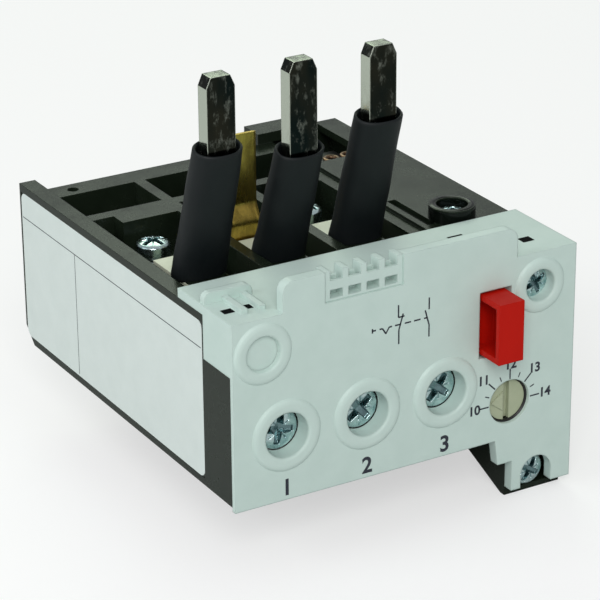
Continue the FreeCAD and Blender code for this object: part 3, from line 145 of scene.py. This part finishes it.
def plastic(name, colour, shade, roughness, grain=0.05, rounding=0.15, spots=220.0, gloss=0.5):
    """Moulded plastic: its colour drifts softly to a second shade, with a fine grain and rounded edges."""
    return wires(bpy.data.materials.new(name), {
        "place": ("ShaderNodeTexCoord", {}, {}),
        "cloud": ("ShaderNodeTexNoise", {}, {
            "Vector": ("place", "Object"), "Scale": spots, "Detail": 4.0, "Roughness": 0.6}),
        "drift": ("ShaderNodeMapRange", {}, {0: ("cloud", 0), 1: 0.35, 2: 0.7, 3: 0.0, 4: 1.0}),
        "tone": ("ShaderNodeMix", {"data_type": "RGBA"}, {
            0: ("drift", 0), 6: (*colour, 1), 7: (*shade, 1)}),
        "fine": ("ShaderNodeTexNoise", {}, {
            "Vector": ("place", "Object"), "Scale": 5200.0, "Detail": 2.0}),
        "edge": ("ShaderNodeBevel", {"samples": 6}, {"Radius": rounding * MM}),
        "bump": ("ShaderNodeBump", {}, {
            "Height": ("fine", 0), "Strength": grain, "Distance": 0.0001, "Normal": ("edge", 0)}),
        "sheen": ("ShaderNodeMapRange", {}, {
            0: ("cloud", 0), 1: 0.3, 2: 0.7, 3: roughness - 0.05, 4: roughness + 0.06}),
        "body": ("ShaderNodeBsdfPrincipled", {}, {
            "Base Color": ("tone", 2), "Roughness": ("sheen", 0), "Normal": ("bump", 0),
            "IOR": 1.5, "Specular IOR Level": gloss}),
        "out": ("ShaderNodeOutputMaterial", {}, {"Surface": ("body", 0)}),
    })


def dress(material, *names):
    """Gives CAD pieces one material."""
    for name in names:
        mesh = parts[name].data
        mesh.materials.clear()
        mesh.materials.append(material)


def add(piece, material, body, slot, *stands_for):
    """Finishes a new piece: its material, the body that carries it and what it replaces; its slot argument is
    not used.
    """
    piece.data.materials.append(material)
    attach(piece, body)
    if stands_for:
        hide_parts(*stands_for)
    return piece


cover_grey = plastic("cover_grey", (0.575, 0.70, 0.655), (0.545, 0.67, 0.625), 0.46, 0.06, 0.35, gloss=0.4)
dress(cover_grey, "front_cover", "marker_comb")

FRONT = -35.85              # the cover's face, along y
POLES = (-23.0, -8.0, 7.0)  # the three poles, along x
AUX = 25.3                  # the two auxiliary terminals, along x
AXIS = 23.6                 # the load terminals' height
UPPER = AXIS + 15.05        # the upper auxiliary terminal and the blank boss
LOWER = AXIS - 19.5         # the lower auxiliary terminal
CELL_ROOF = 41.2            # top of the heater carriers
DECK = 43.0                 # top of the housing
SHELF = 44.6                # top of the cover behind its parapet
DIAL = (19.8, AXIS - 4.8)   # the dial's centre, along x and z


def lathe(profile, centre, turns=96):
    """Surface of revolution about +Y: each profile point (radius, y) makes one ring round the centre (x, z)."""
    radius, along = np.asarray(profile, float).T
    angle = np.linspace(0, 2 * np.pi, turns, endpoint=False)
    x = centre[0] + radius[:, None] * np.cos(angle)
    z = centre[1] + radius[:, None] * np.sin(angle)
    y = np.broadcast_to(along[:, None], x.shape)
    return np.stack([x, y, z], axis=-1)


def stand(points, place):
    """Turns a lathed surface so that its axis points up, and puts its centre at a place."""
    return np.stack([points[..., 0], points[..., 2], points[..., 1]], axis=-1) + place


def quads(rows, columns):
    """Faces of a grid of points, row by row, closed round its columns."""
    row, column = np.meshgrid(np.arange(rows - 1), np.arange(columns), indexing="ij")
    after = (column + 1) % columns
    a = row * columns + column
    b = row * columns + after
    return np.stack([a, b, b + columns, a + columns], axis=-1).reshape(-1, 4)


def flowing(knots, steps):
    """Catmull-Rom curve: passes through every knot, with a number of points between each two."""
    knots = np.asarray(knots, float)
    ends = np.vstack([2 * knots[0] - knots[1], knots, 2 * knots[-1] - knots[-2]])
    a, b, c, d = ends[:-3, None], ends[1:-2, None], ends[2:-1, None], ends[3:, None]
    t = np.linspace(0, 1, steps, endpoint=False)[None, :, None]
    curve = 0.5 * (
        2 * b + (c - a) * t + (2 * a - 5 * b + 4 * c - d) * t ** 2 + (3 * b - a - 3 * c + d) * t ** 3)
    return np.vstack([curve.reshape(-1, knots.shape[1]), knots[-1:]])


def well_bead(name, x, z, outer, bore, deep):
    """Soft rim round a screwdriver well, and the drafted wall of its bore down to a depth."""
    ring, hole = outer / 2, bore / 2
    profile = flowing((
        (ring + 0.34, 0.02), (ring + 0.22, -0.06), (ring + 0.03, -0.29), (ring - 0.25, -0.43),
        (ring - 0.62, -0.52), (ring - 1.0, -0.53), (hole + 0.36, -0.50), (hole + 0.10, -0.42),
        (hole - 0.06, -0.24), (hole - 0.12, 0.0), (hole - 0.24, deep)), 6) + (0, FRONT)
    points = lathe(profile, (x, z))
    piece = mesh_piece(name, points, quads(*points.shape[:2])[:, ::-1])
    return add(piece, cover_grey, "housing", "cover_grey")


for number, x in enumerate(POLES, start=1):
    well_bead("well_bead_%d" % number, x, AXIS, 12.0, 8.0, 2.8)
well_bead("blank_bead", -27.1, UPPER, 9.9, 6.2, 0.4)
well_bead("upper_bead", AUX, UPPER, 9.2, 5.8, 1.9)


# ---- black housing, side plate and auxiliary terminal block ----
# Glass-filled black mouldings with a satin skin.  Thin black plates close the terminal block's floor
# and the cells before the carriers, and the boss on the deck has a rounded glossy rim.  Matt black plates
# lying just proud of the shelf over its holes are painted shade for the holes' dark depth.

housing_black = plastic(
    "housing_black", (0.0085, 0.0135, 0.0078), (0.0120, 0.0180, 0.0112), 0.24, 0.05, 0.2, gloss=0.21)
dress(housing_black, "base_housing", "side_plate", "aux_terminal_block")
inner_black = plastic("inner_black", (0.008, 0.008, 0.008), (0.013, 0.013, 0.012), 0.45)
dress(inner_black, "mechanism_frame")
mechanism_white = plastic("mechanism_white", (0.74, 0.73, 0.68), (0.70, 0.69, 0.63), 0.5)
dress(mechanism_white, "trip_slider", "trip_lever")


def slab(name, low, high, material, rise=0.0):
    """Flat plate from one corner to the other, its rear edge lifted by a rise."""
    (x0, y0, z0), (x1, y1, z1) = low, high
    points = [(x, y, z + (rise if y == y1 else 0)) for x in (x0, x1) for y in (y0, y1) for z in (z0, z1)]
    faces = [(0, 1, 3, 2), (4, 6, 7, 5), (0, 4, 5, 1), (2, 3, 7, 6), (0, 2, 6, 4), (1, 5, 7, 3)]
    return add(mesh_piece(name, points, faces, smooth=False), material, "housing", "housing_black")


shadow_black = plastic(
    "shadow_black", (0.0020, 0.0016, 0.0024), (0.0030, 0.0024, 0.0034), 0.7, 0.02, 0.05, gloss=0.04)
slab("block_floor", (21.6, FRONT + 4.4, 0.43), (30.8, FRONT + 14.2, 0.55), housing_black, rise=3.95)
# painted shade: matt black plates 0.02 mm proud of the shelf, laid over its holes so they show dark
for name, (x0, x1, y0, y1) in {
        "tag_1": (-31.2, -29.3, 4.6, 6.2), "tag_2": (-27.8, -26.0, 4.6, 6.2), "latch": (25.1, 27.3, 4.6, 6.5),
        "slit": (15.5, 18.4, 12.4, 13.1)}.items():
    slab("hole_shade_plate_" + name, (x0, FRONT + y0, SHELF - 0.4), (x1, FRONT + y1, SHELF + 0.02), shadow_black)

BOSS = (22.8, FRONT + 22.6)
gloss_black = plastic(
    "gloss_black", (0.0030, 0.0045, 0.0035), (0.0040, 0.0060, 0.0045), 0.16, 0.02, 0.1, gloss=0.2)
rim = flowing((
    (4.05, 0), (4.05, 1.5), (4.04, 2.5), (3.90, 2.92), (3.55, 3.07), (3.10, 3.07), (2.84, 2.94),
    (2.72, 2.6), (2.71, 1.5), (2.71, 0)), 5)
points = stand(lathe(rim, (0, 0)), (*BOSS, DECK))
add(mesh_piece("boss_rim", points, quads(len(points), 96)), gloss_black, "housing", "housing_black")

for number, x in enumerate(POLES, start=1):
    slab(
        "cell_front_%d" % number, (x - 3.78, FRONT + 20.52, CELL_ROOF - 0.2),
        (x + 3.78, FRONT + 25.9, CELL_ROOF + 0.12), housing_black)


# ---- rating label ----
# Pale satin foil stuck to the left side, with its field borders printed and the rest left bare.

label_foil = plastic("label_foil", (0.70, 0.77, 0.745), (0.67, 0.74, 0.715), 0.38, 0.03, 0.05)
dress(label_foil, "rating_label")


# ---- load terminal screws ----
# Zinc-plated steel screws with a cross recess and small diagonal nicks, one in each well.

def metal(name, colour, dark, roughness, smear, share, stretch=(1, 1, 1)):
    """Plated or bare metal: patches of tarnish, soft arrises, and painted shade that darkens the colour where a
    piece is recessed.
    """
    return wires(bpy.data.materials.new(name), {
        "place": ("ShaderNodeTexCoord", {}, {}),
        "turn": ("ShaderNodeMapping", {}, {"Vector": ("place", "Object"), "Scale": stretch}),
        "patch": ("ShaderNodeTexNoise", {}, {
            "Vector": ("turn", 0), "Scale": smear, "Detail": 6.0, "Roughness": 0.65}),
        "stain": ("ShaderNodeMapRange", {}, {
            0: ("patch", 0), 1: share - 0.12, 2: share + 0.12, 3: 0.0, 4: 1.0}),
        "skin": ("ShaderNodeMix", {"data_type": "RGBA"}, {
            0: ("stain", 0), 6: (*colour, 1), 7: (*dark, 1)}),
        # painted shade: the recess attribute darkens the colour towards 0.6 of the dark tone in screw recesses
        "hollow": ("ShaderNodeAttribute", {"attribute_name": "recess"}, {}),
        "tone": ("ShaderNodeMix", {"data_type": "RGBA"}, {
            0: ("hollow", "Fac"), 6: ("skin", 2), 7: (*(0.6 * value for value in dark), 1)}),
        "edge": ("ShaderNodeBevel", {"samples": 6}, {"Radius": 0.12 * MM}),
        "bump": ("ShaderNodeBump", {}, {
            "Height": ("patch", 0), "Strength": 0.15, "Distance": 0.0001, "Normal": ("edge", 0)}),
        "sheen": ("ShaderNodeMapRange", {}, {
            0: ("stain", 0), 1: 0.0, 2: 1.0, 3: roughness, 4: roughness + 0.18}),
        "body": ("ShaderNodeBsdfPrincipled", {}, {
            "Base Color": ("tone", 2), "Metallic": 1.0, "Roughness": ("sheen", 0),
            "Normal": ("bump", 0)}),
        "out": ("ShaderNodeOutputMaterial", {}, {"Surface": ("body", 0)}),
    })


zinc = metal("zinc", (0.66, 0.80, 0.81), (0.30, 0.46, 0.48), 0.20, 700.0, 0.56)
dress(zinc, "aux_washer_upper", "aux_washer_lower")


def slot_depth(x, z, turn, length, width, deep):
    """Depth of a cross recess with tapered arms and four fine nicks between them, at points of the head."""
    depth = np.zeros_like(x)
    for arm in (0, 90):
        angle = np.radians(turn + arm)
        along = np.abs(x * np.cos(angle) + z * np.sin(angle))
        across = np.abs(-x * np.sin(angle) + z * np.cos(angle))
        floor_here = deep * np.clip(1.25 - along / (0.5 * length), 0, 1)
        wall = np.clip((0.5 * width * (1 - 0.25 * along / (0.5 * length)) - across) / 0.12, 0, 1)
        end = np.clip((0.5 * length - along) / 0.15, 0, 1)
        depth = np.maximum(depth, floor_here * wall * end)
    for nick in (45, 135):
        angle = np.radians(turn + nick)
        along = np.abs(x * np.cos(angle) + z * np.sin(angle))
        across = np.abs(-x * np.sin(angle) + z * np.cos(angle))
        wall = np.clip((0.13 - across) / 0.06, 0, 1)
        end = np.clip((0.42 * length - along) / 0.1, 0, 1)
        depth = np.maximum(depth, 0.22 * wall * end)
    return depth


def screw(name, place, size, turn, recess, body, replaced, upright=False):
    """Domed head with a recess, a rounded rim, then a shank with a running thread.

    The size is (head, its thickness, thread, tip, crown) and the recess (length, width, depth).  It is
    made at the origin with its face towards -Y, stood on end if upright, and put in its place.  The
    attribute "recess" says how deep each point lies in the recess, from 0 to 1.
    """
    head, thick, thread, tip, crown = size
    half, lip, turns = head / 2, 0.35, 180
    domed = 46
    profile = [(r, -crown * (1 - (r / half) ** 2)) for r in np.linspace(0.02, half - lip, domed)]
    profile += [(half - lip + lip * np.sin(t), lip - lip * np.cos(t)) for t in np.radians((20, 45, 70, 90))]
    profile += [(half, thick - 0.15), (half - 0.15, thick), (thread / 2, thick)]
    points = lathe(profile, (0, 0), turns)
    sunk = slot_depth(points[:domed, :, 0], points[:domed, :, 2], turn, *recess)
    points[:domed, :, 1] += sunk
    along = np.linspace(thick + 0.1, tip - 0.5, 90)
    angle = np.linspace(0, 2 * np.pi, turns, endpoint=False)
    pitch = 0.7 if thread > 3.5 else 0.5
    phase = (along[:, None] / pitch + angle / (2 * np.pi)) % 1.0
    radius = thread / 2 - 0.35 * pitch * (1 - np.abs(2 * phase - 1))
    shank = np.stack([
        radius * np.cos(angle), np.broadcast_to(along[:, None], radius.shape), radius * np.sin(angle)], axis=-1)
    end = lathe([(thread / 2 - 0.35, tip - 0.25), (thread / 2 - 0.7, tip), (0.02, tip)], (0, 0), turns)
    points = np.concatenate([points, shank, end])
    if upright:
        points = np.stack([points[..., 0], points[..., 2], -points[..., 1]], axis=-1)
    piece = mesh_piece(name, points + place, quads(len(points), turns)[:, ::-1])
    piece.data.set_sharp_from_angle(angle=np.radians(40))
    # recess depth per point, which the zinc material turns into painted shade in the cross recess
    shade = np.zeros(points.shape[:2], np.float32)
    shade[:domed] = np.clip(sunk / 0.45, 0, 1)
    piece.data.attributes.new("recess", "FLOAT", "POINT").data.foreach_set("value", shade.ravel())
    return add(piece, zinc, body, "zinc_steel", replaced)


for number, (x, turn) in enumerate(zip(POLES, (-10, 40, -38)), start=1):
    screw(
        "terminal_screw_head_%d" % number, (x, FRONT + 2.65, AXIS), (7.2, 2.85, 4.0, 11.35, 0.35), turn,
        (5.4, 1.5, 1.5), "terminal_screw_%d" % number, "terminal_screw_%d" % number)


# ---- auxiliary terminal screws ----
# Smaller zinc-plated screws with a more domed head, each over a round pressure plate.

for name, z, turn in (("upper", UPPER, 25), ("lower", LOWER, 60)):
    screw(
        "aux_screw_head_" + name, (AUX, FRONT + 1.95, z), (5.9, 3.1, 3.0, 9.85, 0.6), turn,
        (4.6, 1.1, 1.3), "aux_screw_" + name, "aux_screw_" + name)


# ---- calibration screws and the screw in the boss ----
# Set at the works: one stands on each heater's bridge, and a flat one closes the boss.

for number, (x, turn) in enumerate(zip(POLES, (20, 70, 35)), start=1):
    screw(
        "calibration_head_%d" % number, (x + 1.0, FRONT + 46.4, AXIS + (17.2 if number == 2 else 16.6)),
        (5.8, 2.4, 3.0, 7.0, 0.55), turn, (4.6, 1.15, 1.6), "housing", "calibration_screws", upright=True)
screw(
    "boss_screw_head", (*BOSS, DECK + 1.6), (5.0, 2.6, 2.4, 2.6, 0.4), 50, (4.4, 0.9, 1.0),
    "housing", "boss_screw", upright=True)


# ---- metal strips, cages and heaters ----
# Rolled and punched strips: tinned busbars, zinc-plated cages, bimetal and resistance strip.

tinned = metal("tinned", (0.74, 0.73, 0.68), (0.50, 0.49, 0.44), 0.28, 500.0, 0.6)
dress(tinned, "upper_contact_strip", "lower_contact_strip", *["load_busbar_%d" % n for n in (1, 2, 3)])
cage_zinc = metal("cage_zinc", (0.60, 0.63, 0.65), (0.38, 0.41, 0.43), 0.34, 600.0, 0.55)
dress(cage_zinc, *["terminal_cage_%d" % n for n in (1, 2, 3)])
rolled = metal("rolled", (0.60, 0.58, 0.53), (0.42, 0.40, 0.35), 0.3, 300.0, 0.55, (1, 0.1, 1))
dress(rolled, "compensating_bimetal", "reset_spring", *["bimetal_%d" % n for n in (1, 2, 3)])
heater_strip = metal("heater_strip", (0.42, 0.38, 0.33), (0.22, 0.19, 0.17), 0.4, 500.0, 0.5)
dress(heater_strip, *["heater_winding_%d" % n for n in (1, 2, 3)])
brass = metal("brass", (0.66, 0.47, 0.10), (0.16, 0.12, 0.03), 0.20, 200.0, 0.50, (1, 1, 0.3))
dress(brass, "moving_contact")


def strip(name, path, low, high, thick, crown, material, slot, *stands_for):
    """Band carried along a path (y, z), from one x to another, its skin crowned across its width."""
    path = flowing(path, 6)
    ahead = np.gradient(path, axis=0)
    ahead /= np.linalg.norm(ahead, axis=1)[:, None]
    normal = np.stack([ahead[:, 1], -ahead[:, 0]], axis=1)
    across = np.linspace(-1, 1, 17)
    skin = crown * (1 - across ** 2) + thick / 2
    sides = np.concatenate([across, across[::-1]])
    lift = np.concatenate([skin, skin[::-1] - thick])
    edge = np.abs(sides) > 0.99
    lift[edge] *= 0.6
    y, z = (path[:, None, i] + lift[None, :] * normal[:, None, i] for i in (0, 1))
    x = np.broadcast_to((low + high) / 2 + sides * (high - low) / 2, y.shape)
    points = np.stack([x, y, z], axis=-1)
    caps = [points[:1].mean(axis=1, keepdims=True), points[-1:].mean(axis=1, keepdims=True)]
    points = np.concatenate([
        np.broadcast_to(caps[0], points[:1].shape), points, np.broadcast_to(caps[1], points[:1].shape)])
    piece = mesh_piece(name, points, quads(len(points), len(sides))[:, ::-1])
    piece.data.set_sharp_from_angle(angle=np.radians(50))
    return add(piece, material, "housing", slot, *stands_for)


bends = np.array((
    (50.2, 38.1), (44.0, 38.1), (39.0, 38.1), (38.0, 38.6), (37.8, 39.6), (37.8, 42.5), (37.9, 44.0),
    (38.5, 45.3), (39.1, 46.6), (39.2, 48.0), (39.2, 53.0), (39.2, 59.4)))
strip(
    "joggled_link", bends + (FRONT, 0), -11.9, -5.9, 0.55, 0.22, brass, "brass_strip", "brass_link")
copper = metal("copper", (0.28, 0.17, 0.10), (0.09, 0.06, 0.04), 0.26, 500.0, 0.5)
rolled_rim = [
    (1.12, 0), (1.12, 1.5), (1.3, 1.75), (1.62, 1.85), (1.66, 2.05), (1.5, 2.2), (1.1, 2.24), (0.9, 2.1),
    (0.82, 1.8), (0.82, 0), (1.12, 0)]
for number, x in enumerate((22.7, 26.3), start=1):
    points = stand(lathe(rolled_rim, (0, 0), 48), (x, FRONT + 62.0, 39.6))
    piece = mesh_piece("eyelet_%d" % number, points, quads(len(points), 48))
    add(piece, copper, "housing", "copper", "contact_eyelets")


# ---- heater carriers and insulators ----
# Cream heat-resistant mouldings that close the cells, and woven glass sleeving under the heaters.

carrier_cream = plastic("carrier_cream", (0.76, 0.80, 0.64), (0.70, 0.74, 0.58), 0.55, 0.12, 0.2)
dress(carrier_cream, *["heater_carrier_%d" % n for n in (1, 2, 3)])
glass_cloth = plastic("glass_cloth", (0.70, 0.66, 0.54), (0.56, 0.51, 0.39), 0.75, 0.3, 0.1, 1800.0)
dress(glass_cloth, *["heater_insulator_%d" % n for n in (1, 2, 3)])


# ---- line pins ----
# Flat nickel-plated blades with cropped tips, stained and scuffed from handling.  Faces turned sideways or up
# carry a painted highlight.

nickel = wires(bpy.data.materials.new("nickel"), {
    "place": ("ShaderNodeTexCoord", {}, {}),
    "turn": ("ShaderNodeMapping", {}, {"Vector": ("place", "Object"), "Scale": (1, 1, 0.45)}),
    "scuff": ("ShaderNodeTexNoise", {}, {
        "Vector": ("turn", 0), "Scale": 620.0, "Detail": 8.0, "Roughness": 0.72}),
    "worn": ("ShaderNodeMapRange", {}, {0: ("scuff", 0), 1: 0.53, 2: 0.78, 3: 0.0, 4: 0.5}),
    # painted highlight: faces whose normal points sideways or up get the pale nickel colour, joined below with
    # the wear on arrises and the scuffs
    "facing": ("ShaderNodeNewGeometry", {}, {}),
    "split": ("ShaderNodeSeparateXYZ", {}, {0: ("facing", "True Normal")}),
    "side": ("ShaderNodeMath", {"operation": "ABSOLUTE"}, {0: ("split", 0)}),
    "end": ("ShaderNodeMath", {"operation": "MULTIPLY"}, {0: ("split", 2), 1: 0.96}),
    "most": ("ShaderNodeMath", {"operation": "MAXIMUM"}, {0: ("side", 0), 1: ("end", 0)}),
    "lit_faces": ("ShaderNodeMapRange", {}, {0: ("most", 0), 1: 0.93, 2: 0.985, 3: 0.0, 4: 1.0}),
    "edge": ("ShaderNodeBevel", {"samples": 8}, {"Radius": 0.28 * MM}),
    "bend": ("ShaderNodeVectorMath", {"operation": "DOT_PRODUCT"}, {
        0: ("edge", 0), 1: ("facing", "True Normal")}),
    "rub": ("ShaderNodeMapRange", {}, {0: ("bend", "Value"), 1: 0.80, 2: 0.985, 3: 1.0, 4: 0.0}),
    "light": ("ShaderNodeMath", {"operation": "MAXIMUM"}, {0: ("lit_faces", 0), 1: ("rub", 0)}),
    "wear_and_highlight": ("ShaderNodeMath", {"operation": "MAXIMUM"}, {0: ("light", 0), 1: ("worn", 0)}),
    "tone": ("ShaderNodeMix", {"data_type": "RGBA"}, {
        0: ("wear_and_highlight", 0), 6: ("dull", 2), 7: (0.66, 0.70, 0.60, 1)}),
    "film": ("ShaderNodeTexNoise", {}, {"Vector": ("turn", 0), "Scale": 170.0, "Detail": 3.0}),
    "spread": ("ShaderNodeMapRange", {}, {0: ("film", 0), 1: 0.38, 2: 0.66, 3: 0.0, 4: 1.0}),
    "dull": ("ShaderNodeMix", {"data_type": "RGBA"}, {
        0: ("spread", 0), 6: (0.008, 0.014, 0.013, 1), 7: (0.030, 0.029, 0.020, 1)}),
    "sheen": ("ShaderNodeMapRange", {}, {0: ("scuff", 0), 1: 0.4, 2: 0.7, 3: 0.12, 4: 0.34}),
    "bump": ("ShaderNodeBump", {}, {
        "Height": ("scuff", 0), "Strength": 0.12, "Distance": 0.0001, "Normal": ("edge", 0)}),
    "body": ("ShaderNodeBsdfPrincipled", {}, {
        "Base Color": ("tone", 2), "Metallic": 1.0, "Roughness": ("sheen", 0), "Normal": ("bump", 0)}),
    "out": ("ShaderNodeOutputMaterial", {}, {"Surface": ("body", 0)}),
})
dress(nickel, *["line_pin_%d" % n for n in (1, 2, 3)])


# ---- sleeves round the pins ----
# Black heat-shrunk tube, oval and a little wider at its foot, its cut mouth standing open.

sleeve_black = plastic(
    "sleeve_black", (0.0045, 0.0070, 0.0080), (0.0070, 0.0095, 0.0105), 0.52, 0.12, 0.1, 160.0, gloss=0.3)


def tube(number, foot, top, inset, share):
    """Oval rings at shares of the way from foot to mouth, inset from the skin.

    They shrink upwards and are crumpled a little by slow waves, which differ from sleeve to sleeve.
    """
    share = share[:, None]
    angle = np.linspace(0, 2 * np.pi, 72, endpoint=False)
    wide = 4.75 - 0.45 * share ** 0.8 - inset
    deep = 3.3 - 0.55 * share - inset
    wave = 0.035 * np.sin(9 * share * (1 + 0.15 * number) + 2 * angle + number)
    wave = wave + 0.02 * np.sin(23 * share + 3 * angle + 2 * number)
    lean = np.array((0.0, top[1] - foot[1], top[2] - foot[2]))
    lean = lean / np.linalg.norm(lean)
    side = np.array((0.0, lean[2], -lean[1]))
    across = np.sign(np.cos(angle)) * np.abs(np.cos(angle)) ** 0.85 * (wide + wave)
    thick = np.sign(np.sin(angle)) * np.abs(np.sin(angle)) ** 0.9 * (deep + wave)
    spine = foot + share[..., None] * (top - foot)
    points = spine + across[..., None] * np.array((1.0, 0, 0)) + thick[..., None] * side
    points[..., 2] = np.maximum(points[..., 2], foot[2])
    return points


rise = np.linspace(0, 1, 60)
for number, (x, mouth) in enumerate(zip(POLES, (65.4, 62.4, 65.4)), start=1):
    foot = np.array((x, FRONT + 28.4, CELL_ROOF))
    top = np.array((x, FRONT + 20.9, mouth))
    outer = tube(number, foot, top, 0.0, rise)
    lip = tube(number, foot, top, 0.22, np.array([1.012]))
    inner = tube(number, foot, top, 0.5, rise[::-1])
    points = np.concatenate([outer, lip, inner, outer[:1]])
    piece = mesh_piece("shrunk_sleeve_%d" % number, points, quads(*points.shape[:2]))
    add(piece, sleeve_black, "housing", "sleeve_black", "pin_sleeve_%d" % number)


# ---- reset button ----
# Red glossy moulding, hollow at its left.

button_red = plastic(
    "button_red", (0.50, 0.0085, 0.0035), (0.47, 0.0075, 0.0030), 0.40, 0.03, 0.2, gloss=0.09)
dress(button_red, "reset_button")


# ---- current dial and its scale ----
# Beige moulded dial with an arrow and a screwdriver slot; the scale is printed on the cover.

dial_beige = plastic("dial_beige", (0.43, 0.47, 0.325), (0.39, 0.43, 0.295), 0.45, 0.05, 0.15, gloss=0.35)
dress(dial_beige, "current_dial")
# painted shade: a black funnel on the grey bore wall at the dial's rim stands in for a wider shadowed gap round
# the dial
dial_gap_shade = lathe(
    np.array([(3.99, 0.66), (3.93, 0.66), (3.62, 1.12), (3.62, 1.5), (3.99, 1.5)]) + (0, FRONT), DIAL)
piece = mesh_piece("dial_gap_shade", dial_gap_shade, quads(*dial_gap_shade.shape[:2])[:, ::-1])
add(piece, inner_black, "housing", "housing_black")

ink = plastic("ink", (0.014, 0.017, 0.030), (0.022, 0.025, 0.040), 0.5, 0.02, 0.01)
PRINTED = FRONT - 0.02


def print_bar(name, start, stop, width):
    """Printed stroke on the cover's face: a flat bar between two points (x, z)."""
    start, stop = np.array(start, float), np.array(stop, float)
    along = (stop - start) / np.linalg.norm(stop - start)
    side = np.array((-along[1], along[0])) * width / 2
    corners = [start - side, stop - side, stop + side, start + side]
    points = [(x, PRINTED, z) for x, z in corners]
    piece = mesh_piece(name, points, [(0, 1, 2, 3)], smooth=False)
    return add(piece, ink, "housing", "cover_grey")


def print_text(name, text, x, z, height):
    """Plain figures centred on a point (x, z) of the cover's face."""
    curve = bpy.data.curves.new(name, "FONT")
    curve.body = text
    curve.size = height * 1.38 * MM
    curve.align_x = "CENTER"
    curve.align_y = "CENTER"
    curve.offset = 0.00004 + 0.02 * height * MM
    lettering = bpy.data.objects.new(name + "_curve", curve)
    bpy.context.scene.collection.objects.link(lettering)
    bpy.context.view_layer.update()
    graph = bpy.context.evaluated_depsgraph_get()
    mesh = bpy.data.meshes.new_from_object(lettering.evaluated_get(graph))
    bpy.data.objects.remove(lettering)
    mesh.transform(Matrix((
        (1, 0, 0, x * MM),
        (0, 0, -1, PRINTED * MM),
        (0, 1, 0, z * MM),
        (0, 0, 0, 1))))
    piece = bpy.data.objects.new(name, mesh)
    bpy.context.scene.collection.objects.link(piece)
    return add(piece, ink, "housing", "cover_grey")


for step in range(9):
    angle = np.radians(180 - 22.5 * step)
    direction = np.array((np.cos(angle), np.sin(angle)))
    near, far, width = (4.4, 5.3, 0.2) if step % 2 else (4.15, 6.0, 0.26)
    print_bar("scale_mark_%d" % step, DIAL + near * direction, DIAL + far * direction, width)
for figure, across, up in (
        ("10", -7.0, -0.1), ("11", -5.25, 5.0), ("12", 0.1, 6.75), ("13", 4.95, 5.0), ("14", 7.15, 0.05)):
    print_text("scale_figure_" + figure, figure, DIAL[0] + across, DIAL[1] + up, 1.7)


# ---- contact symbol, pole numbers and the label's rules ----
# Printed in dark ink: plain strokes for the two contacts and their link, figures under the wells,
# and the fine rules that part the label's empty fields.

for name, stroke in {
        "nc_fixed": [(-2.18, 41.3), (-2.17, 39.13), (-1.03, 39.16)],
        "nc_blade": [(-1.28, 39.62), (-2.09, 36.92), (-2.09, 34.47)],
        "no_fixed": [(3.65, 41.3), (3.65, 39.25)],
        "no_blade": [(2.9, 39.22), (3.66, 36.55), (3.66, 34.43)],
        "press": [(-7.06, 38.25), (-7.06, 37.45)],
        "press_rod": [(-7.06, 37.86), (-6.4, 37.86)],
        "detent": [(-5.73, 37.86), (-5.17, 37.86), (-4.54, 36.85), (-3.91, 37.86), (-3.38, 37.86)],
        "link_1": [(-2.82, 37.86), (-1.68, 37.86)],
        "link_2": [(-0.98, 37.86), (0.21, 37.86)],
        "link_3": [(0.78, 37.86), (2.02, 37.86)],
        "link_4": [(2.69, 37.86), (3.3, 37.86)]}.items():
    for part, (start, stop) in enumerate(zip(stroke[:-1], stroke[1:]), start=1):
        print_bar("symbol_%s_%d" % (name, part), start, stop, 0.27)

for number, x in enumerate(POLES, start=1):
    print_text("pole_figure_%d" % number, str(number), x, AXIS - 9.4, 2.9)

on_label = -32.515
for name, (y0, y1, z0, z1) in {
        "level": (FRONT + 10.3, FRONT + 76.0, 36.9, 37.06),
        "upright": (FRONT + 55.4, FRONT + 55.56, 14.5, 36.98)}.items():
    corners = [(on_label, y, z) for y, z in ((y1, z0), (y0, z0), (y0, z1), (y1, z1))]
    rule = mesh_piece("label_rule_" + name, corners, [(0, 1, 2, 3)], smooth=False)
    add(rule, ink, "housing", "label_foil")
